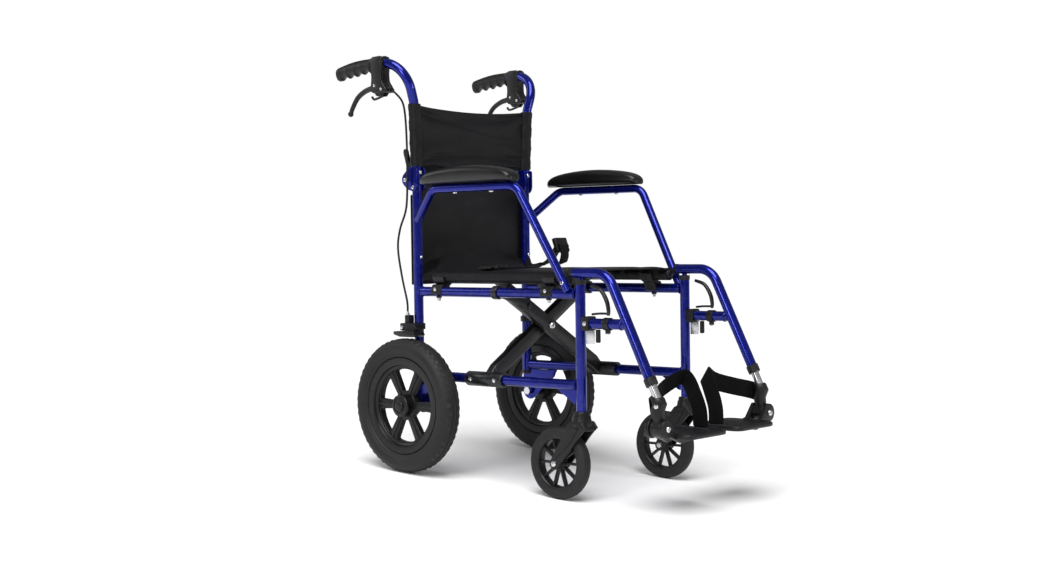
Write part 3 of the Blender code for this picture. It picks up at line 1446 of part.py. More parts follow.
def build_back_slings(frame, hinge, m):
    outer = TUBE_RADIUS + SLING_THICKNESS
    bottom_x = SIDE_X + 0.002
    top = CANE_TOP_Z - 0.001
    rings = []
    for z, half in ((UPPER_SLING_BOTTOM_Z, bottom_x), (top, CANE_TOP_X)):
        ring_front, ring_rear = [], []
        for i in range(9):
            x = -half + 2 * half * i / 8
            y = UPRIGHT_Y - 0.0015 + BACK_SAG * (1 - (x / half) ** 2)
            dip = 0.010 * (1 - (x / half) ** 2) if z > 0.6 else 0.0
            ring_front.append((x, y - BACK_PANEL_THICKNESS / 2, z - dip))
            ring_rear.append((x, y + BACK_PANEL_THICKNESS / 2, z - dip))
        rings.append(ring_front + ring_rear[::-1])
    upper = place("back_sling_upper", loft(rings), m["black_nylon"], hinge)
    for label, side in (("right", RIGHT), ("left", LEFT)):
        sleeve = rod(
            (side * cane_x(UPPER_SLING_BOTTOM_Z), cane_y(UPPER_SLING_BOTTOM_Z), UPPER_SLING_BOTTOM_Z),
            (side * cane_x(top), cane_y(top), top),
            outer,
            16,
        )
        add_to(upper, sleeve, hinge, f"sleeve_{label}")
    for label, side in (("right", RIGHT), ("left", LEFT)):
        cut_from(upper, tube(cane_path(side), TUBE_RADIUS + GAP), hinge, f"cane_{label}")

    behind = UPRIGHT_Y + TUBE_RADIUS + GAP
    half = SIDE_X + 0.008
    notch = SIDE_X - TUBE_RADIUS - CHEEK_THICKNESS - 0.006
    step = CHEEK_BOTTOM_Z - 0.006
    outline = [
        (-half, LOWER_SLING_BOTTOM_Z),
        (-half, step),
        (-notch, step),
        (-notch, LOWER_SLING_TOP_Z),
        (notch, LOWER_SLING_TOP_Z),
        (notch, step),
        (half, step),
        (half, LOWER_SLING_BOTTOM_Z),
    ]
    panel = prism(outline, "y", behind, behind + SLING_THICKNESS)
    place("back_sling_lower", panel, m["black_nylon"], frame)


def cane_x(z):
    share = (z - UPRIGHT_TOP_Z) / (CANE_TOP_Z - UPRIGHT_TOP_Z)
    return SIDE_X + (CANE_TOP_X - SIDE_X) * share


def cane_y(z):
    share = (z - UPRIGHT_TOP_Z) / (CANE_TOP_Z - UPRIGHT_TOP_Z)
    return UPRIGHT_Y - 0.003 * share


def build_belt(frame, m):
    """One half of the lap belt, lying across the seat from the left rear corner."""
    top = SEAT_TUBE_Z + TUBE_RADIUS + SLING_THICKNESS + BELT_THICKNESS / 2 + 0.0010
    route = [
        (SEAT_TUBE_X - 0.004, -0.030, top + 0.004),
        (SEAT_TUBE_X - 0.030, -0.060, top + 0.001),
        (SEAT_TUBE_X - 0.080, -0.100, top - 0.005),
        (SEAT_TUBE_X - 0.150, -0.130, top - 0.0075),
        (SEAT_TUBE_X - 0.230, -0.150, top - 0.006),
        (SEAT_TUBE_X - 0.280, -0.160, top - 0.003),
    ]
    across = Vector((0.45, 0.9, 0.0))
    points = smooth_path(route, 3)
    mesh = band([(point, across) for point in points], BELT_WIDTH, BELT_THICKNESS)
    place("seat_belt", mesh, m["black_nylon"], frame)


def build_chair():
    clear_scene()
    m = make_materials()
    datum = make_datum()
    frames = {
        "right": make_pivot("side_frame_right", (0.0, 0.0, 0.0), datum),
        "left": make_pivot("side_frame_left", (0.0, 0.0, 0.0), datum),
    }
    for label, side in (("right", RIGHT), ("left", LEFT)):
        frame = frames[label]
        build_side_frame(side, label, frame, m)
        build_armrest(side, label, frame, m)
        build_upper_back(side, label, frame, m)
        build_cable(side, label, frame, m)
        build_rear_wheel(side, label, frame, m)
        build_wheel_brake(side, label, frame, m)
        build_caster(side, label, frame, m)
        build_hanger(side, label, frame, m)
        build_link(side, label, frame, m)
    build_brace(RIGHT, "right", datum, m)
    build_brace(LEFT, "left", datum, m)
    build_seat_sling(datum, m)
    build_back_slings(datum, datum, m)
    build_belt(datum, m)


if __name__ == "__main__":
    build_chair()
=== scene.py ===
"""Visual model of a folding attendant wheelchair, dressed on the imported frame."""

import json
import logging
from dataclasses import dataclass, field
from enum import Enum
from math import atan2, cos, exp, pi, radians, sin, sqrt, tan
from typing import Iterable, Sequence

import bmesh
import bpy
from mathutils import Matrix, Vector

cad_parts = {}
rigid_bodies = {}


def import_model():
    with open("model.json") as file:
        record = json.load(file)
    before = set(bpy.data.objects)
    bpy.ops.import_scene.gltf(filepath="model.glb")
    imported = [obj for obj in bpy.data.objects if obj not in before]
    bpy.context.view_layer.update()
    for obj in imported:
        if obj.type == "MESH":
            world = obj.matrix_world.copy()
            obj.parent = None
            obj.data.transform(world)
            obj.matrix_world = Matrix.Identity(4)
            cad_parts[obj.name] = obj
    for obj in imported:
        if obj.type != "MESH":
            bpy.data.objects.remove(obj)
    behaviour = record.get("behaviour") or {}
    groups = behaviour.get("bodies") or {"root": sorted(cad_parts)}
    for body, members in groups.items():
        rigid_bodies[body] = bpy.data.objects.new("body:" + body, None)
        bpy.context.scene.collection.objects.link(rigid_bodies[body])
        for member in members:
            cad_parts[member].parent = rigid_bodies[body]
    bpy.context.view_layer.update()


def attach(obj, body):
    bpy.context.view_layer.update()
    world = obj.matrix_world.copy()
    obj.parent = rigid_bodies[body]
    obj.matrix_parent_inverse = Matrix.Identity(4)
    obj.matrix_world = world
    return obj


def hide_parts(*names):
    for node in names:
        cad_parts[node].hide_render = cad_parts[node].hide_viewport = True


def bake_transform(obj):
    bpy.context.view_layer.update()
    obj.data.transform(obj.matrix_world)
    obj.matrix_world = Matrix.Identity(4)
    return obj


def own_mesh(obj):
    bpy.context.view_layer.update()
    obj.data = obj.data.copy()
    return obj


LOG = logging.getLogger("wheelchair")

TILT = radians(3.7)
AXLE_HEIGHT = 0.1525
AXLE_Y = 0.2312
SIDE_X = 0.185
TUBE = 0.0111
UPRIGHT_Y = 0.010
POST_Y = -0.4715
RAIL_Z = 0.2565
LOWER_Z = 0.065
SEAT_TUBE_X = 0.170
SEAT_TUBE_Z = 0.289
HANDLE_X = 0.231
TO_CHAIR = Matrix.Translation((0, AXLE_Y, AXLE_HEIGHT)) @ Matrix.Rotation(-TILT, 4, "X")
CAD_FLOOR_LIFT = 0.00016
SHARP = radians(38)
WEBBING = 0.038
HEM_LIFT = 0.0002
FRAME_BEVELS = 7

Point = Sequence[float]
Mesh = bpy.types.Mesh
Outline = list[tuple[float, float]]


class Side(Enum):
    """The two sides of the chair, as a rider sitting in it names them."""

    RIGHT = -1
    LEFT = 1

    @property
    def word(self) -> str:
        """The side's name as the bodies spell it."""
        return self.name.lower()


class Surface(Enum):
    """What kind of surface treatment a finish gets."""

    PAINT = "paint"
    MOULDED = "moulded"
    WOVEN = "woven"
    METAL = "metal"


# ------------------------------------------------------------------ finishes
@dataclass(frozen=True)
class Finish:
    """One material's recipe."""

    name: str
    slot: str
    surface: Surface
    colour: tuple[float, float, float]
    second: tuple[float, float, float]
    roughness: float
    metallic: float = 0.0
    coat: float = 0.0
    coat_roughness: float = 0.05
    sheen: float = 0.0
    specular: float = 0.5
    grain: float = 900.0
    relief: float = 0.00010
    rough_spread: float = 0.10
    wear: float = 0.0


FINISHES = (
    Finish("blue_enamel", "blue_paint", Surface.PAINT, (0.002, 0.009, 0.24), (0.0015, 0.005, 0.15), 0.20,
           metallic=0.72, coat=0.42, coat_roughness=0.04, specular=0.2, grain=1500, relief=0.00001,
           rough_spread=0.05, wear=0.10),
    Finish("sling_nylon", "black_nylon", Surface.WOVEN, (0.0040, 0.0040, 0.0052), (0.0020, 0.0020, 0.0028),
           0.50,
           sheen=0.015, specular=0.20, grain=620, relief=0.00022, rough_spread=0.10),
    Finish("strap_webbing", "black_nylon", Surface.WOVEN, (0.0030, 0.0030, 0.0036), (0.0015, 0.0015, 0.0019),
           0.74,
           sheen=0.015, specular=0.10, grain=430, relief=0.00035, rough_spread=0.10),
    Finish("stitch_thread", "black_nylon", Surface.WOVEN, (0.012, 0.012, 0.014), (0.007, 0.007, 0.008), 0.70,
           sheen=0.02, specular=0.18, grain=2200, relief=0.00008),
    Finish("moulded_black", "black_plastic", Surface.MOULDED, (0.0035, 0.0035, 0.0042),
           (0.0065, 0.0065, 0.0070), 0.40,
           specular=0.30, grain=950, relief=0.00007, rough_spread=0.14, wear=0.10),
    Finish("grip_rubber", "black_rubber", Surface.MOULDED, (0.0030, 0.0030, 0.0035), (0.0055, 0.0055, 0.0060),
           0.48, specular=0.28, grain=1300, relief=0.00010, rough_spread=0.12, wear=0.04),
    Finish("tyre_rubber", "black_rubber", Surface.MOULDED, (0.0065, 0.0065, 0.0070), (0.0150, 0.0145, 0.0145),
           0.62, specular=0.30, grain=420, relief=0.00016, rough_spread=0.16, wear=0.10),
    Finish("arm_foam_skin", "pad_vinyl", Surface.MOULDED, (0.0028, 0.0028, 0.0032), (0.0048, 0.0048, 0.0052),
           0.33, specular=0.34, coat=0.12, coat_roughness=0.35, grain=520, relief=0.00010, rough_spread=0.12),
    Finish("satin_black_steel", "black_steel", Surface.PAINT, (0.0035, 0.0035, 0.0042),
           (0.0065, 0.0065, 0.0070), 0.36,
           specular=0.35, metallic=0.25, coat=0.25, coat_roughness=0.25, grain=1200, relief=0.00003,
           rough_spread=0.12, wear=0.22),
    Finish("plated_steel", "bright_steel", Surface.METAL, (0.70, 0.71, 0.73), (0.52, 0.52, 0.53), 0.24,
           metallic=1.0, grain=700, relief=0.00002, rough_spread=0.16),
)


class Bench:
    """A short way to add and wire nodes in one tree."""

    def __init__(self, tree: bpy.types.NodeTree) -> None:
        """Takes the tree to work in."""
        self.tree = tree

    def add(self, kind: str, values: dict | None = None, **settings: object) -> bpy.types.Node:
        """Adds a node.

        Args:
            kind: Blender's node type name.
            values: Input values or sources, by the socket's name or index.
            settings: Properties of the node.

        Returns:
            The new node.
        """
        node = self.tree.nodes.new(kind)
        for key, value in settings.items():
            setattr(node, key, value)
        for key, value in (values or {}).items():
            if isinstance(value, bpy.types.NodeSocket):
                self.tree.links.new(value, node.inputs[key])
            else:
                node.inputs[key].default_value = value
        return node

    def math(self, operation: str, first: object, second: object = 0.0) -> bpy.types.NodeSocket:
        """Adds a Math node and returns its result.

        Args:
            operation: The node's operation.
            first: A number or a socket.
            second: A number or a socket.

        Returns:
            The output socket.
        """
        return self.add("ShaderNodeMath", {0: first, 1: second}, operation=operation).outputs[0]


def open_group(name: str, inputs: dict[str, float],
               outputs: Iterable[str]) -> tuple[Bench, bpy.types.Node, bpy.types.Node]:
    """Starts a shared shader group.

    Args:
        name: The group's name.
        inputs: Float inputs and their defaults.
        outputs: Names of the float outputs.

    Returns:
        The bench on the group, its input node and its output node.
    """
    tree = bpy.data.node_groups.new(name, "ShaderNodeTree")
    for label, value in inputs.items():
        socket = tree.interface.new_socket(label, in_out="INPUT", socket_type="NodeSocketFloat")
        socket.default_value = value
    for label in outputs:
        tree.interface.new_socket(label, in_out="OUTPUT", socket_type="NodeSocketFloat")
    bench = Bench(tree)
    return bench, bench.add("NodeGroupInput"), bench.add("NodeGroupOutput")


def edge_wear_group() -> bpy.types.NodeTree:
    """Builds the group that finds rubbed outer edges.

    Returns:
        A group with Amount and Scale in, and Mask out.
    """
    bench, taken, given = open_group("edge_wear", {"Amount": 0.3, "Scale": 60.0}, ["Mask"])
    place = bench.add("ShaderNodeTexCoord").outputs["Object"]
    edge = bench.add("ShaderNodeNewGeometry").outputs["Pointiness"]
    raised = bench.add("ShaderNodeMapRange", {0: edge, 1: 0.52, 2: 0.62}).outputs[0]
    noise = bench.add("ShaderNodeTexNoise", {"Vector": place, "Scale": taken.outputs["Scale"], "Detail": 4.0})
    patch = bench.add("ShaderNodeMapRange", {0: noise.outputs[0], 1: 0.45, 2: 0.70}).outputs[0]
    worn = bench.math("MULTIPLY", raised, patch)
    bench.tree.links.new(bench.math("MULTIPLY", worn, taken.outputs["Amount"]), given.inputs["Mask"])
    return bench.tree


def grain_group() -> bpy.types.NodeTree:
    """Builds the group for fine moulded or sprayed grain.

    Returns:
        A group with Scale in, and Height, Cloud out.
    """
    bench, taken, given = open_group("surface_grain", {"Scale": 800.0}, ["Height", "Cloud"])
    place = bench.add("ShaderNodeTexCoord").outputs["Object"]
    fine = bench.add("ShaderNodeTexNoise", {"Vector": place, "Scale": taken.outputs["Scale"], "Detail": 2.0})
    pits = bench.add("ShaderNodeTexVoronoi", {"Vector": place, "Scale": taken.outputs["Scale"]})
    height = bench.math("ADD", bench.math("MULTIPLY", fine.outputs[0], 0.6),
                        bench.math("MULTIPLY", pits.outputs["Distance"], 0.4))
    cloud = bench.add("ShaderNodeTexNoise", {"Vector": place, "Scale": 14.0, "Detail": 5.0, "Roughness": 0.6})
    bench.tree.links.new(height, given.inputs["Height"])
    bench.tree.links.new(cloud.outputs[0], given.inputs["Cloud"])
    return bench.tree


def weave_group() -> bpy.types.NodeTree:
    """Builds the group for an over-and-under weave.

    Returns:
        A group with Threads per metre in, and Height, Shade out.
    """
    bench, taken, given = open_group("cloth_weave", {"Threads": 600.0}, ["Height", "Shade"])
    place = bench.add("ShaderNodeTexCoord").outputs["Object"]
    parts = bench.add("ShaderNodeSeparateXYZ", {0: place}).outputs
    along = bench.math("ADD", parts[1], parts[2])
    turns = bench.math("MULTIPLY", taken.outputs["Threads"], pi)
    warp = bench.math("SINE", bench.math("MULTIPLY", parts[0], turns))
    weft = bench.math("SINE", bench.math("MULTIPLY", along, turns))
    crossed = bench.math("MULTIPLY", warp, weft)
    height = bench.math("ADD", bench.math("MULTIPLY", bench.math("ABSOLUTE", warp), 0.5),
                        bench.math("MULTIPLY", bench.math("ABSOLUTE", weft), 0.5))
    cloud = bench.add("ShaderNodeTexNoise", {"Vector": place, "Scale": 22.0, "Detail": 4.0})
    shade = bench.math("ADD", bench.math("MULTIPLY", crossed, 0.25), cloud.outputs[0])
    bench.tree.links.new(height, given.inputs["Height"])
    bench.tree.links.new(shade, given.inputs["Shade"])
    return bench.tree


class FinishShop:
    """Makes every material once, from the shared groups."""

    def __init__(self) -> None:
        """Builds the shared groups and all the materials."""
        self.groups = {"wear": edge_wear_group(), "grain": grain_group(), "weave": weave_group()}
        self.made = {finish.name: self.make(finish) for finish in FINISHES}

    def __getitem__(self, name: str) -> bpy.types.Material:
        """Gives a finish by name."""
        return self.made[name]

    def group(self, bench: Bench, kind: str, values: dict) -> bpy.types.Node:
        """Places a shared group in a material.

        Args:
            bench: The bench on the material's tree.
            kind: Which shared group.
            values: Its inputs.

        Returns:
            The group node.
        """
        node = bench.add("ShaderNodeGroup")
        node.node_tree = self.groups[kind]
        for key, value in values.items():
            node.inputs[key].default_value = value
        return node

    def make(self, finish: Finish) -> bpy.types.Material:
        """Builds one material.

        Args:
            finish: Its recipe.

        Returns:
            The material.
        """
        material = bpy.data.materials.new(finish.name)
        material.use_nodes = True
        bench = Bench(material.node_tree)
        shader = material.node_tree.nodes["Principled BSDF"]
        shader.inputs["Metallic"].default_value = finish.metallic
        shader.inputs["Coat Weight"].default_value = finish.coat
        shader.inputs["Coat Roughness"].default_value = finish.coat_roughness
        shader.inputs["Sheen Weight"].default_value = finish.sheen
        shader.inputs["Specular IOR Level"].default_value = finish.specular
        if finish.surface is Surface.WOVEN:
            pattern = self.group(bench, "weave", {"Threads": finish.grain})
            shade = pattern.outputs["Shade"]
        else:
            pattern = self.group(bench, "grain", {"Scale": finish.grain})
            shade = pattern.outputs["Cloud"]
        blend = bench.add("ShaderNodeMapRange", {0: shade, 1: 0.30, 2: 0.75}).outputs[0]
        colour = bench.add("ShaderNodeMix", {0: blend}, data_type="RGBA")
        colour.inputs[6].default_value = (*finish.colour, 1)
        colour.inputs[7].default_value = (*finish.second, 1)
        surface_colour = colour.outputs[2]
        if finish.wear:
            worn = self.group(bench, "wear", {"Amount": finish.wear, "Scale": 90.0})
            rubbed = bench.add("ShaderNodeMix", {0: worn.outputs["Mask"], 6: surface_colour},
                               data_type="RGBA")
            rubbed.inputs[7].default_value = (0.16, 0.17, 0.20, 1)
            surface_colour = rubbed.outputs[2]
        material.node_tree.links.new(surface_colour, shader.inputs["Base Color"])
        low, high = finish.roughness - finish.rough_spread / 2, finish.roughness + finish.rough_spread / 2
        rough = bench.add("ShaderNodeMapRange", {0: shade, 1: 0.30, 2: 0.75, 3: low, 4: high}).outputs[0]
        material.node_tree.links.new(rough, shader.inputs["Roughness"])
        bump = bench.add("ShaderNodeBump", {"Height": pattern.outputs["Height"], "Strength": 0.8,
                                            "Distance": finish.relief})
        material.node_tree.links.new(bump.outputs[0], shader.inputs["Normal"])
        return material


# ------------------------------------------------------------------ mesh tools
def to_mesh(bm: bmesh.types.BMesh) -> Mesh:
    """Closes a bmesh into a mesh with its normals outward.

    Args:
        bm: The work in progress, which is freed.

    Returns:
        The mesh.
    """
    bmesh.ops.remove_doubles(bm, verts=bm.verts, dist=1e-6)
    bmesh.ops.recalc_face_normals(bm, faces=bm.faces)
    mesh = bpy.data.meshes.new("shape")
    bm.to_mesh(mesh)
    bm.free()
    return mesh


def merged(meshes: Iterable[Mesh]) -> Mesh:
    """Puts several meshes in one.

    Args:
        meshes: The meshes, which keep their shapes.

    Returns:
        The combined mesh.
    """
    bm = bmesh.new()
    for mesh in meshes:
        bm.from_mesh(mesh)
    result = bpy.data.meshes.new("merged")
    bm.to_mesh(result)
    bm.free()
    return result


def moved(mesh: Mesh, matrix: Matrix) -> Mesh:
    """A copy of a mesh, transformed.

    Args:
        mesh: The mesh to copy.
        matrix: Where to put the copy.

    Returns:
        The copy, with its faces still outward.
    """
    copy = mesh.copy()
    copy.transform(matrix)
    if matrix.determinant() < 0:
        copy.flip_normals()
    return copy


def evaluated(carrier: bpy.types.Object) -> Mesh:
    """Turns an object with its modifiers into a plain mesh and removes the object.

    Args:
        carrier: A curve or mesh object.

    Returns:
        The mesh.
    """
    if carrier.name not in bpy.context.scene.collection.objects:
        bpy.context.scene.collection.objects.link(carrier)
    bpy.context.view_layer.update()
    graph = bpy.context.evaluated_depsgraph_get()
    mesh = bpy.data.meshes.new_from_object(carrier.evaluated_get(graph))
    bpy.data.objects.remove(carrier)
    return mesh


def tube(path: Iterable[Point], radius: float, around: int = 5,
         taper: Sequence[float] = ()) -> Mesh:
    """A round bar along a path, with closed ends.

    Args:
        path: Points of the middle line.
        radius: Half its thickness.
        around: Bevel resolution.
        taper: A radius share for each point, where it isn't even.

    Returns:
        The mesh.
    """
    points = [Vector(point) for point in path]
    curve = bpy.data.curves.new("tube", "CURVE")
    curve.dimensions = "3D"
    curve.bevel_depth = radius
    curve.bevel_resolution = around
    curve.use_fill_caps = True
    spline = curve.splines.new("POLY")
    spline.points.add(len(points) - 1)
    for index, (node, point) in enumerate(zip(spline.points, points)):
        node.co = (*point, 1)
        node.radius = taper[index] if taper else 1.0
    mesh = evaluated(bpy.data.objects.new("tube", curve))
    bm = bmesh.new()
    bm.from_mesh(mesh)
    return to_mesh(bm)


def plate(outline: Outline, axis: str, low: float, high: float, bevel: float = 0.001,
          holes: Iterable[Outline] = ()) -> Mesh:
    """A flat piece with softly rounded edges, and holes where it has them.

    Args:
        outline: (y, z) points for axis x, (x, z) for y, (x, y) for z.
        axis: The direction it is thick in.
        low: Where it starts along that axis.
        high: Where it ends.
        bevel: Radius of its edges.
        holes: Outlines of openings.

    Returns:
        The mesh.
    """
    curve = bpy.data.curves.new("plate", "CURVE")
    curve.dimensions = "2D"
    curve.fill_mode = "BOTH"
    curve.extrude = max(1e-5, (high - low) / 2 - bevel)
    curve.bevel_depth = bevel
    curve.bevel_resolution = 2
    curve.offset = -bevel
    for ring in (outline, *holes):
        spline = curve.splines.new("POLY")
        spline.points.add(len(ring) - 1)
        for node, (first, second) in zip(spline.points, ring):
            node.co = (first, second, 0, 1)
        spline.use_cyclic_u = True
    mesh = evaluated(bpy.data.objects.new("plate", curve))
    middle = (low + high) / 2
    matrices = {
        "x": Matrix(((0, 0, 1, middle), (1, 0, 0, 0), (0, 1, 0, 0), (0, 0, 0, 1))),
        "y": Matrix(((1, 0, 0, 0), (0, 0, 1, middle), (0, 1, 0, 0), (0, 0, 0, 1))),
        "z": Matrix.Translation((0, 0, middle)),
    }
    mesh.transform(matrices[axis])
    bm = bmesh.new()
    bm.from_mesh(mesh)
    return to_mesh(bm)


def box(low: Point, high: Point, bevel: float = 0.001) -> Mesh:
    """A block with rounded edges.

    Args:
        low: One corner.
        high: The opposite corner.
        bevel: Radius of its edges.

    Returns:
        The mesh.
    """
    bm = bmesh.new()
    bmesh.ops.create_cube(bm, size=1.0)
    low_v, high_v = Vector(low), Vector(high)
    size = Vector(abs(b - a) for a, b in zip(low_v, high_v))
    bmesh.ops.scale(bm, vec=size, verts=bm.verts)
    bmesh.ops.translate(bm, vec=(low_v + high_v) / 2, verts=bm.verts)
    bmesh.ops.bevel(bm, geom=bm.edges[:], offset=bevel, segments=3, affect="EDGES", profile=0.5)
    return to_mesh(bm)


def lathe(profile: Outline, centre: Point, axis: str = "x", segments: int = 72) -> Mesh:
    """A closed outline spun round an axle.

    Args:
        profile: (radius, along the axle) points.
        centre: The middle of the axle.
        axis: The axle's direction, x or z.
        segments: Steps round.

    Returns:
        The mesh.
    """
    bm = bmesh.new()
    if axis == "x":
        ring = [bm.verts.new((along, radius, 0)) for radius, along in profile]
        line = (1, 0, 0)
    else:
        ring = [bm.verts.new((radius, 0, along)) for radius, along in profile]
        line = (0, 0, 1)
    edges = [bm.edges.new((a, b)) for a, b in zip(ring, ring[1:])]
    if profile[0][0] > 1e-6 or profile[-1][0] > 1e-6:
        edges.append(bm.edges.new((ring[-1], ring[0])))
    bmesh.ops.spin(bm, geom=ring + edges, cent=(0, 0, 0), axis=line, angle=2 * pi, steps=segments,
                   use_merge=True)
    bmesh.ops.translate(bm, vec=Vector(centre), verts=bm.verts)
    return to_mesh(bm)


def both_faces(half: Outline) -> Outline:
    """A wheel's profile, from the half of it on one side of the middle plane.

    Args:
        half: (radius, along the axle) points, the last on the middle plane or next to it.

    Returns:
        The whole profile.
    """
    return half + [(radius, -along) for radius, along in reversed(half) if along]


def rod(start: Point, end: Point, radius: float, end_radius: float | None = None, sides: int = 28,
        bevel: float = 0.0006) -> Mesh:
    """A straight round bar with softened ends.

    Args:
        start: Middle of its first end.
        end: Middle of its last end.
        radius: Radius at the start.
        end_radius: Radius at the end, where it differs.
        sides: Steps round.
        bevel: Radius of the end edges.

    Returns:
        The mesh.
    """
    first, last = Vector(start), Vector(end)
    along = last - first
    final = radius if end_radius is None else end_radius
    length = along.length
    profile = [(0.0, 0.0), (radius - bevel, 0.0), (radius, bevel), (final, length - bevel),
               (final - bevel, length), (0.0, length)]
    mesh = lathe(profile, (0, 0, 0), "z", sides)
    turn = along.to_track_quat("Z", "Y").to_matrix().to_4x4()
    mesh.transform(Matrix.Translation(first) @ turn)
    return mesh


def bolt_head(at: Point, facing: Point, radius: float, height: float) -> Mesh:
    """A domed screw head with a round recess.

    Args:
        at: Where its underside sits.
        facing: The way it looks.
        radius: Its radius.
        height: How far it stands up.

    Returns:
        The mesh.
    """
    profile = [(0.0, 0.0), (radius, 0.0), (radius, height * 0.30), (radius * 0.86, height * 0.78),
               (radius * 0.56, height), (radius * 0.42, height), (radius * 0.38, height * 0.45),
               (0.0, height * 0.40)]
    mesh = lathe(profile, (0, 0, 0), "z", 20)
    turned = Vector(facing).to_track_quat("Z", "Y").to_matrix().to_4x4()
    mesh.transform(Matrix.Translation(Vector(at)) @ turned)
    return mesh


def arc(centre: tuple[float, float], radius: float, start: float, end: float, steps: int) -> Outline:
    """Points on a circle, from one angle in degrees to another.

    Args:
        centre: The circle's middle.
        radius: Its radius.
        start: First angle.
        end: Last angle.
        steps: How many steps.

    Returns:
        The points.
    """
    turns = [radians(start + (end - start) * i / steps) for i in range(steps + 1)]
    return [(centre[0] + radius * cos(t), centre[1] + radius * sin(t)) for t in turns]


def softened(outline: Outline, radius: float, steps: int = 4) -> Outline:
    """Rounds the corners of an outline.

    Args:
        outline: Its corners.
        radius: How far from each corner the rounding starts.
        steps: Points on each rounding.

    Returns:
        The rounded outline.
    """
    points = [Vector(point) for point in outline]
    result: Outline = []
    for index, corner in enumerate(points):
        before = points[index - 1] - corner
        after = points[(index + 1) % len(points)] - corner
        reach = min(radius, before.length * 0.48, after.length * 0.48)
        first, last = corner + before.normalized() * reach, corner + after.normalized() * reach
        for step in range(steps + 1):
            t = step / steps
            point = first * (1 - t) ** 2 + corner * 2 * t * (1 - t) + last * t**2
            result.append((point.x, point.y))
    return result


def bent(corners: Iterable[Point], radius: float, step: float = 6.0) -> list[Vector]:
    """A polyline with its inner corners rounded to one bend radius.

    Args:
        corners: The corners.
        radius: The bend radius.
        step: Degrees for each point on a bend.

    Returns:
        The path.
    """
    points = [Vector(corner) for corner in corners]
    path = [points[0]]
    for before, corner, after in zip(points, points[1:], points[2:]):
        inward, outward = (before - corner).normalized(), (after - corner).normalized()
        turn = pi - inward.angle(outward)
        reach = radius * tan(turn / 2)
        centre = corner + (inward + outward).normalized() * (radius / cos(turn / 2))
        first, last = corner + inward * reach - centre, corner + outward * reach - centre
        steps = max(3, round(turn / radians(step)))
        for i in range(steps + 1):
            share = i / steps
            fade, grow = sin((1 - share) * turn) / sin(turn), sin(share * turn) / sin(turn)
            path.append(centre + first * fade + last * grow)
    path.append(points[-1])
    return path


def smooth(points: Iterable[Point], per_span: int = 6) -> list[Vector]:
    """A smooth line through chosen points.

    Args:
        points: The points.
        per_span: Steps between each two.

    Returns:
        The path.
    """
    chosen = [Vector(point) for point in points]
    padded = [2 * chosen[0] - chosen[1], *chosen, 2 * chosen[-1] - chosen[-2]]
    path = []
    for a, b, c, d in zip(padded, padded[1:], padded[2:], padded[3:]):
        for step in range(per_span):
            t = step / per_span
            path.append(0.5 * (2 * b + (c - a) * t + (2 * a - 5 * b + 4 * c - d) * t**2
                               + (3 * b - a - 3 * c + d) * t**3))
    path.append(chosen[-1])
    return path


def loft(rings: Sequence[Sequence[Point]]) -> Mesh:
    """A closed solid through rings with the same number of points.

    Args:
        rings: The rings, in order.

    Returns:
        The mesh.
    """
    bm = bmesh.new()
    loops = [[bm.verts.new(point) for point in ring] for ring in rings]
    for near, far in zip(loops, loops[1:]):
        count = len(near)
        for i in range(count):
            bm.faces.new((near[i], near[(i + 1) % count], far[(i + 1) % count], far[i]))
    bm.faces.new(loops[0])
    bm.faces.new(loops[-1])
    return to_mesh(bm)


def strap(points: Sequence[Point], acrosses: Sequence[Point], width: float,
          thickness: float) -> Mesh:
    """A webbing strap with rolled edges.

    Args:
        points: Its middle line.
        acrosses: The direction of its width at each point.
        width: Its width.
        thickness: Its thickness.

    Returns:
        The mesh.
    """
    line = [Vector(point) for point in points]
    section = ((-0.5, 0.0), (-0.49, 0.35), (-0.44, 0.5), (-0.2, 0.42), (0.2, 0.42), (0.44, 0.5), (0.49, 0.35),
               (0.5, 0.0), (0.49, -0.35), (0.44, -0.5), (0.2, -0.42), (-0.2, -0.42), (-0.44, -0.5),
               (-0.49, -0.35))
    rings = []
    for i, (point, across) in enumerate(zip(line, acrosses)):
        along = (line[min(i + 1, len(line) - 1)] - line[max(i - 1, 0)]).normalized()
        flat = Vector(across)
        flat = (flat - along * flat.dot(along)).normalized()
        facing = along.cross(flat).normalized()
        rings.append([point + flat * (a * width) + facing * (b * thickness) for a, b in section])
    return loft(rings)


# ------------------------------------------------------------------ repeats by Geometry Nodes
class Repeat(Enum):
    """The three ways a small shape is repeated."""

    ROUND = "round an axle"
    ROW = "in a straight row"
    PATH = "along a path"


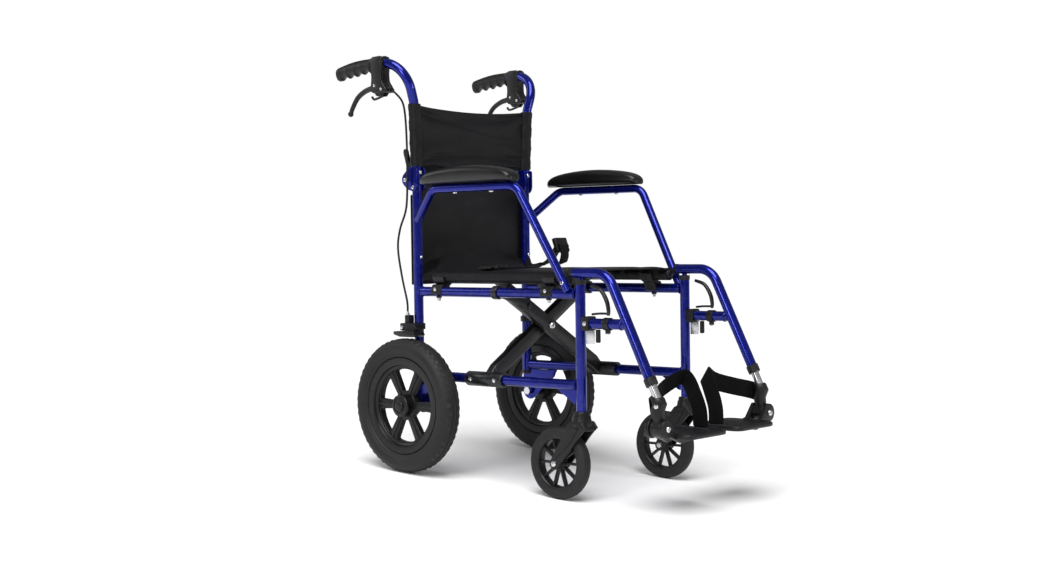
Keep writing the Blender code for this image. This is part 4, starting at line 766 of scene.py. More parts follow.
class Repeater:
    """Geometry Nodes trees that repeat one small shape."""

    def __init__(self) -> None:
        """Builds the three trees."""
        self.trees = {kind: self.build(kind) for kind in Repeat}

    def build(self, kind: Repeat) -> bpy.types.NodeTree:
        """Builds one tree.

        Args:
            kind: How its shape repeats.

        Returns:
            The tree, with named inputs.
        """
        tree = bpy.data.node_groups.new(f"repeat_{kind.name.lower()}", "GeometryNodeTree")
        inputs = {"Geometry": "NodeSocketGeometry", "Shape": "NodeSocketObject", "Count": "NodeSocketInt",
                  "Pitch": "NodeSocketFloat", "Offset": "NodeSocketVector", "Finish": "NodeSocketMaterial"}
        for label, socket in inputs.items():
            tree.interface.new_socket(label, in_out="INPUT", socket_type=socket)
        tree.interface.new_socket("Geometry", in_out="OUTPUT", socket_type="NodeSocketGeometry")
        bench = Bench(tree)
        taken, given = bench.add("NodeGroupInput"), bench.add("NodeGroupOutput")
        shape = bench.add("GeometryNodeObjectInfo", {"Object": taken.outputs["Shape"]}).outputs["Geometry"]
        if kind is Repeat.PATH:
            line = bench.add("GeometryNodeMeshToCurve", {0: taken.outputs["Geometry"]}).outputs[0]
            even = bench.add("GeometryNodeResampleCurve", {"Curve": line, "Length": taken.outputs["Pitch"]},
                             mode="LENGTH")
            tangent = bench.add("GeometryNodeInputTangent").outputs[0]
            turn = bench.add("FunctionNodeAlignRotationToVector", {"Vector": tangent}, axis="X").outputs[0]
            points = even.outputs[0]
        else:
            dots = bench.add("GeometryNodePoints", {"Count": taken.outputs["Count"]}).outputs[0]
            index = bench.add("GeometryNodeInputIndex").outputs[0]
            if kind is Repeat.ROUND:
                full = bench.math("DIVIDE", 2 * pi, taken.outputs["Count"])
                angle = bench.math("MULTIPLY", index, full)
                turn = bench.add("ShaderNodeCombineXYZ", {0: angle}).outputs[0]
                points = dots
            else:
                away = bench.add("ShaderNodeVectorMath", {0: taken.outputs["Offset"]}, operation="SCALE")
                tree.links.new(index, away.inputs["Scale"])
                placed = bench.add("GeometryNodeSetPosition", {"Geometry": dots})
                tree.links.new(away.outputs[0], placed.inputs["Position"])
                points, turn = placed.outputs[0], None
        copies = bench.add("GeometryNodeInstanceOnPoints", {"Points": points, "Instance": shape})
        if turn is not None:
            tree.links.new(turn, copies.inputs["Rotation"])
        real = bench.add("GeometryNodeRealizeInstances", {0: copies.outputs[0]})
        dressed = bench.add("GeometryNodeSetMaterial",
                            {0: real.outputs[0], "Material": taken.outputs["Finish"]})
        tree.links.new(dressed.outputs[0], given.inputs[0])
        return tree

    def run(self, kind: Repeat, shape: Mesh, finish: bpy.types.Material,
            base: Mesh | None = None, **values: object) -> Mesh:
        """Repeats a shape and gives a plain mesh.

        Args:
            kind: How it repeats.
            shape: The small shape.
            finish: Its material.
            base: The path's mesh, for PATH.
            values: Count, Pitch or Offset.

        Returns:
            The repeated mesh.
        """
        unit = bpy.data.objects.new("unit", shape)
        carrier = bpy.data.objects.new("repeat", base or bpy.data.meshes.new("empty"))
        tree = self.trees[kind]
        modifier = carrier.modifiers.new("repeat", "NODES")
        modifier.node_group = tree
        sockets = {item.name: item.identifier for item in tree.interface.items_tree if item.in_out == "INPUT"}
        modifier[sockets["Shape"]] = unit
        modifier[sockets["Finish"]] = finish
        for name, value in values.items():
            modifier[sockets[name]] = value
        mesh = evaluated(carrier)
        bpy.data.objects.remove(unit)
        return mesh


def polyline(points: Iterable[Point]) -> Mesh:
    """A mesh of edges through points.

    Args:
        points: The points.

    Returns:
        The mesh.
    """
    line = [tuple(point) for point in points]
    mesh = bpy.data.meshes.new("line")
    mesh.from_pydata(line, [(i, i + 1) for i in range(len(line) - 1)], [])
    return mesh


# ------------------------------------------------------------------ workshop
@dataclass
class Workshop:
    """What every sub-assembly builds with."""

    finishes: FinishShop
    repeater: Repeater
    count: int = 0

    def piece(self, name: str, mesh: Mesh, finish: str, body: str,
              replaces: Sequence[str] = (), subdivide: int = 0) -> bpy.types.Object:
        """Places a finished mesh, given in chair coordinates, as a piece on a body.

        Args:
            name: The piece's name.
            mesh: Its mesh.
            finish: Its finish.
            body: The body it rides on, or an empty word to leave that open.
            replaces: CAD nodes it stands for.
            subdivide: Levels of subdivision.

        Returns:
            The object.
        """
        mesh.transform(TO_CHAIR)
        mesh.transform(Matrix.Translation((0, 0, -CAD_FLOOR_LIFT)))
        mesh.materials.clear()
        mesh.materials.append(self.finishes[finish])
        for face in mesh.polygons:
            face.material_index = 0
        mesh.shade_smooth()
        mesh.set_sharp_from_angle(angle=SHARP)
        mesh.name = name
        made = bpy.data.objects.new(name, mesh)
        bpy.context.scene.collection.objects.link(made)
        if subdivide:
            rounding = made.modifiers.new("rounding", "SUBSURF")
            rounding.levels = rounding.render_levels = subdivide
        if body:
            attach(made, body)
        if replaces:
            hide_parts(*replaces)
        self.count += 1
        LOG.info("%s: %d faces on %s", name, len(mesh.polygons), body or "a blend")
        return made

    def bead(self, centre: Point, facing: Point, radius: float = TUBE) -> Mesh:
        """A ring of weld ripples round a tube.

        Args:
            centre: Middle of the ring.
            facing: The tube's direction.
            radius: The tube's radius.

        Returns:
            The ring's mesh.
        """
        ripple = bmesh.new()
        bmesh.ops.create_icosphere(ripple, subdivisions=1, radius=0.0019)
        bmesh.ops.translate(ripple, vec=(0, radius + 0.0002, 0), verts=ripple.verts)
        ring = self.repeater.run(Repeat.ROUND, to_mesh(ripple), self.finishes["blue_enamel"], Count=30)
        turn = Vector(facing).to_track_quat("X", "Z").to_matrix().to_4x4()
        ring.transform(Matrix.Translation(Vector(centre)) @ turn)
        return ring

    def stitches(self, path: Iterable[Point], pitch: float = 0.0040) -> Mesh:
        """A row of stitches along a line.

        Args:
            path: The line.
            pitch: From stitch to stitch.

        Returns:
            The stitches' mesh.
        """
        thread = bmesh.new()
        bmesh.ops.create_icosphere(thread, subdivisions=1, radius=0.00048)
        bmesh.ops.scale(thread, vec=(2.9, 1.0, 1.0), verts=thread.verts)
        return self.repeater.run(Repeat.PATH, to_mesh(thread), self.finishes["stitch_thread"],
                                 polyline(path), Pitch=pitch)


# ------------------------------------------------------------------ side frame
@dataclass
class SideFrame:
    """One welded side frame with its plates, cradles and armrest."""

    shop: Workshop
    side: Side
    upright_top: float = 0.505
    upright_bottom: float = 0.045
    post_top: float = 0.283
    post_bottom: float = 0.011
    arm_x: float = 0.218
    arm_z: float = 0.4878
    arm_tube: float = 0.0095
    pad_rear: float = -0.047
    pad_front: float = -0.322
    saddle_ys: tuple[float, float] = (-0.056, -0.385)

    def build(self) -> None:
        """Builds every piece of the side frame."""
        self.tubes()
        self.plates()
        self.small_fittings()
        self.armrest()

    @property
    def x(self) -> float:
        """The side frame's place across the chair."""
        return self.side.value * SIDE_X

    def tubes(self) -> None:
        """The four welded tubes, with weld ripples where they meet."""
        x = self.x
        parts = [
            tube([(x, UPRIGHT_Y, self.upright_bottom), (x, UPRIGHT_Y, self.upright_top)], TUBE, FRAME_BEVELS),
            tube([(x, POST_Y, self.post_bottom), (x, POST_Y, self.post_top)], TUBE, FRAME_BEVELS),
            tube([(x, UPRIGHT_Y - 0.009, RAIL_Z), (x, POST_Y + 0.009, RAIL_Z)], TUBE, FRAME_BEVELS),
            tube([(x, UPRIGHT_Y - 0.009, LOWER_Z), (x, POST_Y + 0.009, LOWER_Z)], TUBE, FRAME_BEVELS),
        ]
        for z in (RAIL_Z, LOWER_Z):
            for y in (UPRIGHT_Y - TUBE - 0.001, POST_Y + TUBE + 0.001):
                parts.append(self.shop.bead((x, y, z), (0, 1, 0)))
        names = [f"{node}_{self.side.word}" for node in
                 ("rear_upright", "front_post", "seat_side_tube", "lower_side_tube")]
        self.shop.piece(f"frame_tubes_{self.side.word}", merged(parts), "blue_enamel",
                        f"frame_{self.side.word}", names)

    def plates(self) -> None:
        """The welded gusset and the axle plate with its boss and axle."""
        x, s, word = self.x, self.side.value, self.side.word
        gusset = softened([(POST_Y + 0.066, LOWER_Z - 0.010), (POST_Y, LOWER_Z - 0.010),
                           (POST_Y, LOWER_Z - 0.040),
                           (POST_Y + 0.019, LOWER_Z - 0.040)], 0.004)
        axle = [(-0.0014, 0.0447), (-0.0014, 0.0536), (-0.085, 0.0536), (-0.079, 0.038)]
        axle += arc((0, 0), 0.021, 235, 380, 16) + [(0.0211, 0.026), (0.0211, 0.0447)]
        parts = [plate(gusset, "x", x - 0.002, x + 0.002, 0.0006),
                 plate(axle, "x", x - 0.002, x + 0.002, 0.0006),
                 rod((x, 0, 0), (s * 0.2122, 0, 0), 0.012)]
        self.shop.piece(f"frame_plates_{word}", merged(parts), "blue_enamel", f"frame_{word}",
                        [f"axle_plate_{word}"])
        steel = [rod((s * 0.173, 0, 0), (s * 0.2652, 0, 0), 0.006),
                 rod((s * 0.171, 0, 0), (s * 0.179, 0, 0), 0.0105, sides=6, bevel=0.0008)]
        self.shop.piece(f"rear_axle_{word}", merged(steel), "plated_steel", f"frame_{word}")

    def small_fittings(self) -> None:
        """Hinge cheeks, end caps, seat cradles and the bolts that hold them."""
        x, s, word = self.x, self.side.value, self.side.word
        cheek = softened([(-0.004, 0.496), (0.004, 0.484), (0.028, 0.490), (0.045, 0.506), (0.045, 0.520),
                          (0.022, 0.541), (-0.004, 0.541)], 0.007)
        cheeks = [plate(cheek, "x", x + k * 0.0122 - 0.0015, x + k * 0.0122 + 0.0015, 0.0006)
                  for k in (-1, 1)]
        self.shop.piece(f"back_hinge_cheeks_{word}", merged(cheeks), "blue_enamel", f"frame_{word}")
        blacks = [lathe([(0, -0.0035), (0.0085, -0.0035), (0.0112, -0.001), (0.0114, 0.006), (0, 0.006)],
                        (x, UPRIGHT_Y, self.upright_bottom), "z", 32),
                  lathe([(0, -0.004), (0.0118, -0.004), (0.0122, 0.006), (0.0112, 0.0062), (0, 0.0062)],
                        (x, POST_Y, self.post_top - 0.003), "z", 32)]
        seat_x, wrap = s * SEAT_TUBE_X, TUBE + 0.0034
        for y in self.saddle_ys:
            cup = (arc((seat_x, SEAT_TUBE_Z), wrap + 0.004, 175, 365, 22)
                   + arc((seat_x, SEAT_TUBE_Z), wrap, 365, 175, 22))
            foot = [(seat_x - s * 0.007, 0.2714), (x + s * 0.004, 0.2734), (x + s * 0.012, 0.262),
                    (x + s * 0.0125, 0.250), (x - s * 0.0125, 0.250), (seat_x - s * 0.001, 0.262)]
            blacks.append(plate(cup, "y", y - 0.017, y + 0.017, 0.0008))
            blacks.append(plate(softened(foot, 0.003), "y", y - 0.016, y + 0.016, 0.0010))
            blacks.append(rod((x, y, 0.2505), (x, y, 0.2425), 0.0062, sides=24))
        self.shop.piece(f"frame_fittings_{word}", merged(blacks), "moulded_black", f"frame_{word}")
        bright = []
        for y, z in ((0.010, 0.494), (0.034, 0.512)):
            for k in (-1, 1):
                bright.append(bolt_head((x + k * 0.0136, y, z), (k, 0, 0), 0.0050, 0.0028))
        bright.append(bolt_head((x, UPRIGHT_Y - TUBE * 0.96, 0.5290), (0, -1, 0), 0.0048, 0.0030))
        for y in self.saddle_ys:
            bright.append(rod((x, y, 0.2430), (x, y, 0.2365), 0.0040, sides=6, bevel=0.0004))
            bright.append(bolt_head((x + s * 0.0122, y, 0.262), (s, 0, 0), 0.0044, 0.0024))
        for z in (0.335, 0.43):
            bright.append(bolt_head((x, UPRIGHT_Y - TUBE * 0.98, z), (0, -1, 0), 0.0042, 0.0022))
        self.shop.piece(f"frame_bolts_{word}", merged(bright), "plated_steel", f"frame_{word}")

    def armrest(self) -> None:
        """The armrest tube, its pad and its fixing bolts."""
        s, word = self.side.value, self.side.word
        path = bent([(s * (SIDE_X + 0.003), UPRIGHT_Y - 0.006, 0.4195), (s * self.arm_x, -0.0744, self.arm_z),
                     (s * self.arm_x, -0.325, self.arm_z), (s * 0.1965, -0.4485, 0.2625)], 0.035)
        bolts = [bolt_head((s * (SIDE_X + 0.0205), -0.4395, 0.280), (s, -0.1, 0.1), 0.0046, 0.0026)]
        self.shop.piece(f"armrest_tube_skin_{word}", tube(path, self.arm_tube, FRAME_BEVELS), "blue_enamel",
                        f"frame_{word}", [f"armrest_tube_{word}"])
        for y in (-0.143, -0.252):
            bolts.append(bolt_head((s * self.arm_x, y, self.arm_z - self.arm_tube), (0, 0, -1), 0.0046,
                                    0.0030))
        self.shop.piece(f"armrest_bolts_{word}", merged(bolts), "plated_steel", f"frame_{word}")
        pad = self.shop.piece(f"armrest_pad_skin_{word}", self.pad_mesh(), "arm_foam_skin",
                              f"frame_{word}", [f"armrest_pad_{word}"], subdivide=1)

    def pad_mesh(self) -> Mesh:
        """The moulded foam pad, domed above and with a rolled lower edge.

        Returns:
            The mesh.
        """
        rings = []
        bottom, length, count = self.arm_z + self.arm_tube + 0.0003, self.pad_rear - self.pad_front, 36
        for i in range(count + 1):
            along = (1 - cos(pi * i / count)) / 2
            y = self.pad_rear - length * along
            end = max(0.0, 1 - abs(2 * along - 1) ** 9) ** 0.5
            height = (0.0225 + 0.0165 * sin(pi * min(1.0, 0.03 + along * 0.94)) ** 0.85) * (0.35 + 0.65 * end)
            half = 0.0250 * (0.45 + 0.55 * end)
            ring = []
            for step in range(32):
                angle = 2 * pi * step / 32 - pi / 2
                across = abs(cos(angle)) ** 0.55 * (1 if cos(angle) > 0 else -1)
                rise = abs(sin(angle)) ** 0.60 * (1 if sin(angle) > 0 else -1)
                up = (rise + 1) / 2
                tuck = 1 - 0.16 * (1 - min(1.0, up * 2.2)) ** 2 - 0.028 * exp(-((up - 0.26) / 0.045) ** 2)
                crown = 1 - 0.05 * abs(across) ** 3 * (up > 0.5)
                ring.append((self.side.value * self.arm_x + half * across * tuck, y,
                             bottom + height * up * crown))
            rings.append(ring)
        return loft(rings)


# ------------------------------------------------------------------ folding upper back
@dataclass
class UpperBack:
    """One folding cane with its grip, hand brake and release lever."""

    shop: Workshop
    side: Side
    cane_top_z: float = 0.6856
    handle_front_z: float = 0.786
    handle_end_y: float = 0.216
    handle_drop: float = 0.018
    grip_front: float = 0.0985
    grip_end: float = 0.2180
    scallops: int = 4

    def build(self) -> None:
        """Builds every piece that folds with this cane."""
        self.cane()
        self.grip()
        self.hand_brake()
        self.cable()

    def path(self) -> list[Vector]:
        """The cane's middle line."""
        s = self.side.value
        return bent([(s * SIDE_X, UPRIGHT_Y, 0.5058), (s * 0.193, 0.007, self.cane_top_z),
                     (s * (HANDLE_X - 0.003), 0.002, self.handle_front_z),
                     (s * HANDLE_X, self.handle_end_y, self.handle_front_z - self.handle_drop)], 0.066)

    def cane(self) -> None:
        """The cane itself, with its hinge lug and the release lever."""
        s, word = self.side.value, self.side.word
        x = s * SIDE_X
        lug = softened([(0.008, 0.507), (0.038, 0.504), (0.043, 0.512), (0.038, 0.521), (0.008, 0.526)],
                       0.004)
        parts = [tube(self.path(), TUBE, FRAME_BEVELS), plate(lug, "x", x - 0.006, x + 0.006, 0.0008)]
        self.shop.piece(f"back_cane_skin_{word}", merged(parts), "blue_enamel", f"back_{word}",
                        [f"back_cane_{word}"])
        lever = softened([(0.0235, 0.5275), (0.0330, 0.5255), (0.0420, 0.5500), (0.0500, 0.5780),
                          (0.0460, 0.5850),
                          (0.0395, 0.5820), (0.0330, 0.5560), (0.0245, 0.5400)], 0.006)
        shapes = [plate(lever, "x", x - 0.0045, x + 0.0045, 0.0014)]
        for k in range(3):
            shapes.append(rod((x - 0.0046, 0.0435 + k * 0.0018, 0.5640 + k * 0.006),
                              (x + 0.0046, 0.0435 + k * 0.0018, 0.5640 + k * 0.006), 0.0018, bevel=0.0004))
        self.shop.piece(f"back_release_skin_{word}", merged(shapes), "moulded_black",
                        f"back_release_{word}", [f"back_release_lever_{word}"])

    def grip_centre(self, y: float) -> float:
        """Height of the handle's middle line at y."""
        return self.handle_front_z - self.handle_drop * (y - 0.002) / (self.handle_end_y - 0.002)

    def grip(self) -> None:
        """The moulded grip with finger scallops, a front collar and a rounded end."""
        s, word = self.side.value, self.side.word
        rings, count = [], 96
        for i in range(count + 1):
            share = i / count
            y = self.grip_front + (self.grip_end - self.grip_front) * share
            top = 0.0146 + 0.0034 * sin(pi * share) - 0.0034 * share**3
            reach = min(1.0, max(0.0, (share - 0.06) / 0.82))
            valley = abs(sin(pi * self.scallops * reach)) ** 0.55
            bottom = 0.0186 - 0.0064 * valley + 0.0012 * share
            half = 0.0136 + 0.0008 * sin(pi * share) - 0.0006 * valley
            near = min(share, 1 - share)
            close = sqrt(max(0.0, 1 - (1 - min(1.0, near / 0.05)) ** 2)) * 0.35 + 0.65
            collar = 1.08 if share < 0.045 else 1.0
            groove = 1 - 0.045 * (0.5 + 0.5 * cos(2 * pi * share * 26)) ** 4 * (0.12 < share < 0.86)
            centre = self.grip_centre(y)
            ring = []
            for turn in range(32):
                angle = 2 * pi * turn / 32
                rise = sin(angle)
                height = top * (groove if rise > 0.35 else 1) if rise > 0 else bottom
                wide = abs(cos(angle)) ** 0.9 * (1 if cos(angle) > 0 else -1)
                ring.append((s * HANDLE_X + half * wide * close * collar, y,
                             centre + height * rise * close * collar))
            rings.append(ring)
        self.shop.piece(f"hand_grip_skin_{word}", loft(rings), "grip_rubber", f"back_{word}",
                        [f"hand_grip_{word}"])

    def hand_brake(self) -> None:
        """The brake housing, its lever and its lock hook."""
        s, word = self.side.value, self.side.word
        x = s * HANDLE_X
        outline = softened([(0.062, 0.7955), (0.057, 0.7855), (0.061, 0.755), (0.060, 0.738), (0.044, 0.717),
                            (0.046, 0.711), (0.089, 0.711), (0.097, 0.718), (0.093, 0.745), (0.097, 0.7835),
                            (0.092, 0.7945)], 0.006)
        cheeks = [plate(outline, "x", x + k - 0.0046, x + k + 0.0046, 0.0028) for k in (-0.0104, 0.0104)]
        core = softened([(0.063, 0.7945), (0.0585, 0.7855), (0.0625, 0.755), (0.0615, 0.738), (0.046, 0.7175),
                         (0.048, 0.712), (0.070, 0.712), (0.0705, 0.7425), (0.092, 0.7425), (0.095, 0.7835),
                         (0.091, 0.7935)], 0.004)
        cheeks.append(plate(core, "x", x - 0.0075, x + 0.0075, 0.0012))
        band = arc((x, self.grip_centre(0.078)), 0.0158, 0, 352, 44)
        cheeks.append(plate(band, "y", 0.0585, 0.0640, 0.0016))
        boss = softened([(0.058, 0.7125), (0.066, 0.7035), (0.080, 0.7040), (0.088, 0.7125)], 0.003)
        cheeks.append(plate(boss, "x", x - 0.0105, x - 0.0046, 0.0010))
        cheeks.append(plate(boss, "x", x + 0.0046, x + 0.0105, 0.0010))
        cheeks.append(rod((x, 0.0425, 0.7165), (x, 0.052, 0.722), 0.0046))
        self.shop.piece(f"brake_housing_skin_{word}", merged(cheeks), "moulded_black", f"back_{word}",
                        [f"brake_housing_{word}"])
        screws = [bolt_head((x + k * 0.0148, y, z), (k, 0, 0), 0.0034, 0.0018)
                  for k in (-1, 1) for y, z in ((0.082, 0.728), (0.060, 0.719))]
        self.shop.piece(f"brake_screws_{word}", merged(screws), "plated_steel", f"back_{word}")
        route = smooth([(x, 0.078, 0.728), (x, 0.100, 0.7250), (x, 0.128, 0.7195), (x, 0.154, 0.7060),
                        (x, 0.172, 0.6840), (x, 0.1795, 0.6700)], 7)
        taper = [1.55 - 0.50 * i / len(route) for i in range(len(route))]
        ball = lathe([(0.0066 * cos(radians(a)), 0.0066 * sin(radians(a))) for a in range(-90, 91, 10)],
                     tuple(route[-1]), "z", 28)
        self.shop.piece(f"brake_lever_skin_{word}", merged([tube(route, 0.0046, 5, taper), ball]),
                        "moulded_black", f"brake_lever_{word}_arm", [f"brake_lever_{word}"])
        hook = smooth([(x, 0.066, 0.7055), (x, 0.086, 0.7005), (x, 0.099, 0.6990), (x, 0.1055, 0.7050)], 7)
        self.shop.piece(f"brake_lock_skin_{word}", tube(hook, 0.0028, 4), "moulded_black",
                        f"brake_lock_{word}", [f"brake_lock_hook_{word}"])

    def cable(self) -> None:
        """The outer brake cable, which bends at the back's hinge."""
        s, word = self.side.value, self.side.word
        route = [(0.231, 0.0410, 0.7165), (0.2240, 0.0330, 0.7075), (0.2120, 0.0260, 0.6900),
                 (0.2085, 0.0210, 0.6600), (0.2075, 0.0180, 0.6000), (0.2075, 0.0180, 0.5300),
                 (0.2060, 0.0240, 0.4500), (0.2040, 0.0480, 0.4000), (0.2040, 0.0560, 0.3550),
                 (0.2050, 0.0430, 0.2900), (0.2085, 0.0240, 0.2350), (0.2110, 0.0200, 0.2085)]
        path = smooth([(s * a, b, c) for a, b, c in route], 5)
        cable = self.shop.piece(f"brake_cable_skin_{word}", tube(path, 0.0024, 4), "grip_rubber", "",
                                [f"brake_cable_{word}"])
        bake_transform(cable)


# ------------------------------------------------------------------ wheels
@dataclass
class RearWheel:
    """A twelve-inch wheel with six flared spokes and a knobbed tyre."""

    shop: Workshop
    side: Side
    tyre: float = 0.1525
    x: float = 0.2362
    spokes: int = 6
    lugs: int = 54

    def build(self) -> None:
        """Builds the wheel and its brake."""
        self.rim()
        self.rubber()
        self.brake()

    def rim(self) -> None:
        """The moulded rim, web, spokes and hub."""
        s, word = self.side.value, self.side.word
        centre = (s * self.x, 0.0, 0.0)
        ring = [(0.0885, -0.0128), (0.0905, -0.0135), (0.0925, -0.0178), (0.0950, -0.0185), (0.1085, -0.0185),
                (0.1096, -0.0165), (0.1096, 0.0165), (0.1085, 0.0185), (0.0950, 0.0185), (0.0925, 0.0178),
                (0.0905, 0.0135), (0.0885, 0.0128), (0.0850, 0.0095), (0.0845, 0.0), (0.0850, -0.0095)]
        hub = [(0.0068, -0.0230), (0.0235, -0.0230), (0.0245, -0.0215), (0.0245, 0.0190), (0.0250, 0.0205),
               (0.0250, 0.0235), (0.0225, 0.0260), (0.0170, 0.0268), (0.0165, 0.0255), (0.0120, 0.0250),
               (0.0068, 0.0250)]
        holes = [self.window(i) for i in range(self.spokes)]
        disc = arc((0, 0), 0.0868, 0, 360 - 5, 71)
        web = plate(disc, "x", s * self.x - 0.0075, s * self.x + 0.0075, 0.0018, holes)
        rib = box((0.0066, 0.026, -0.0034), (0.0098, 0.086, 0.0034), 0.0014)
        ribs = self.shop.repeater.run(Repeat.ROUND, rib, self.shop.finishes["moulded_black"],
                                      Count=self.spokes)
        back_ribs = moved(ribs, Matrix.Diagonal((-1, 1, 1, 1)))
        parts = [lathe(ring, centre, segments=96), lathe([(r, s * a) for r, a in hub], centre, segments=48),
                 web]
        parts += [moved(ribs, Matrix.Translation(centre)), moved(back_ribs, Matrix.Translation(centre))]
        self.shop.piece(f"rear_rim_skin_{word}", merged(parts), "moulded_black", f"rear_wheel_{word}",
                        [f"rear_rim_{word}"])
        cap = [(0.0, 0.0300), (0.0060, 0.0298), (0.0108, 0.0290), (0.0122, 0.0275), (0.0124, 0.0245),
               (0.0, 0.0245)]
        outer = lathe([(r, s * a) for r, a in cap], centre, segments=36)
        self.shop.piece(f"hub_cap_{word}", outer, "moulded_black", f"rear_wheel_{word}")
        stem = rod((s * self.x, 0.066, 0.0), (s * self.x, 0.0845, 0.0), 0.0028)
        self.shop.piece(f"valve_stem_{word}", stem, "grip_rubber", f"rear_wheel_{word}")

    def window(self, index: int) -> Outline:
        """The opening between two spokes, which flare towards the rim.

        Args:
            index: Which opening.

        Returns:
            Its outline in the wheel's plane.
        """
        start, end = 360 * index / self.spokes, 360 * (index + 1) / self.spokes
        corners: Outline = []
        for radius, margin, reverse in ((0.0830, 8.4, False), (0.0335, 15.0, True)):
            ring = arc((0, 0), radius, start + margin, end - margin, 8)
            corners += ring[::-1] if reverse else ring
        return softened(corners, 0.0085, 3)

    def rubber(self) -> None:
        """The tyre, with sidewall rings and two rows of shoulder lugs."""
        s, word = self.side.value, self.side.word
        centre = (s * self.x, 0.0, 0.0)
        half = [(0.1099, 0.0165), (0.1125, 0.0205), (0.1150, 0.0222), (0.1165, 0.0222), (0.1180, 0.0238),
                (0.1230, 0.0256), (0.1290, 0.0264), (0.1340, 0.0262), (0.1385, 0.0250), (0.1400, 0.0238),
                (0.1440, 0.0215), (0.1475, 0.0175), (0.1497, 0.0125), (0.1508, 0.0070), (0.1512, 0.0060),
                (0.1498, 0.0052), (0.1498, 0.0036), (0.1516, 0.0028), (0.1520, 0.0)]
        parts = [lathe(both_faces(half), centre, segments=120)]
        lug = bmesh.new()
        bmesh.ops.create_cube(lug, size=1.0)
        bmesh.ops.scale(lug, vec=(0.0105, 0.0026, 0.0088), verts=lug.verts)
        bmesh.ops.bevel(lug, geom=lug.edges[:], offset=0.0006, segments=1, affect="EDGES")
        bmesh.ops.rotate(lug, matrix=Matrix.Rotation(radians(-27), 3, "Z"), verts=lug.verts)
        bmesh.ops.translate(lug, vec=(0.0145, 0.1482, 0.0), verts=lug.verts)
        shape = to_mesh(lug)
        row = self.shop.repeater.run(Repeat.ROUND, shape, self.shop.finishes["tyre_rubber"], Count=self.lugs)
        other = moved(row, Matrix.Rotation(pi / self.lugs, 4, "X") @ Matrix.Diagonal((-1, 1, 1, 1)))
        parts += [moved(row, Matrix.Translation(centre)), moved(other, Matrix.Translation(centre))]
        self.shop.piece(f"rear_tyre_skin_{word}", merged(parts), "tyre_rubber", f"rear_wheel_{word}",
                        [f"rear_tyre_{word}"])

    def brake(self) -> None:
        """The wheel brake's block, cable stop and shoe."""
        s, word = self.side.value, self.side.word
        low, high = sorted((s * 0.1964, s * 0.224))
        block = softened([(0.033, 0.1685), (0.033, 0.185), (-0.008, 0.185), (-0.018, 0.1765),
                          (-0.018, 0.1685)], 0.003)
        blacks = [plate(block, "x", low, high, 0.0014)]
        stop_low, stop_high = sorted((s * 0.1970, s * 0.2150))
        blacks.append(box((stop_low, 0.0130, 0.183), (stop_high, 0.0270, 0.203), 0.002))
        ends = sorted((s * 0.1735, s * 0.1985))
        clamp = arc((s * SIDE_X, UPRIGHT_Y), TUBE + 0.0035, 0, 352, 44)
        clamp_hole = arc((s * SIDE_X, UPRIGHT_Y), TUBE + 0.0002, 0, 352, 44)
        blacks.append(plate(clamp, "z", 0.1700, 0.1835, 0.0010, [clamp_hole]))
        self.shop.piece(f"wheel_brake_block_{word}", merged(blacks), "moulded_black", f"frame_{word}",
                        [f"wheel_brake_bracket_{word}"])
        brights = [rod((s * 0.211, 0.020, 0.2030), (s * 0.211, 0.020, 0.2085), 0.0042, sides=6, bevel=0.0004),
                   rod((s * 0.211, 0.020, 0.1900), (s * 0.211, 0.020, 0.2120), 0.0027, sides=20,
                       bevel=0.0003),
                   bolt_head((ends[0] if s < 0 else ends[1], 0.010, 0.1768), (s, 0, 0), 0.0044, 0.0024),
                   bolt_head((s * 0.2240, 0.0260, 0.1750), (s, 0, 0), 0.0046, 0.0026)]
        self.shop.piece(f"wheel_brake_bolts_{word}", merged(brights), "plated_steel", f"frame_{word}")
        shoe = softened([(0.032, 0.1605), (0.032, 0.1677), (-0.030, 0.1677), (-0.036, 0.1595),
                         (-0.030, 0.1555),
                         (0.012, 0.1555)], 0.0025)
        low, high = sorted((s * 0.2110, s * 0.2462))
        self.shop.piece(f"wheel_brake_shoe_skin_{word}", plate(shoe, "x", low, high, 0.0009),
                        "satin_black_steel",
                        f"brake_shoe_{word}", [f"wheel_brake_shoe_{word}"])


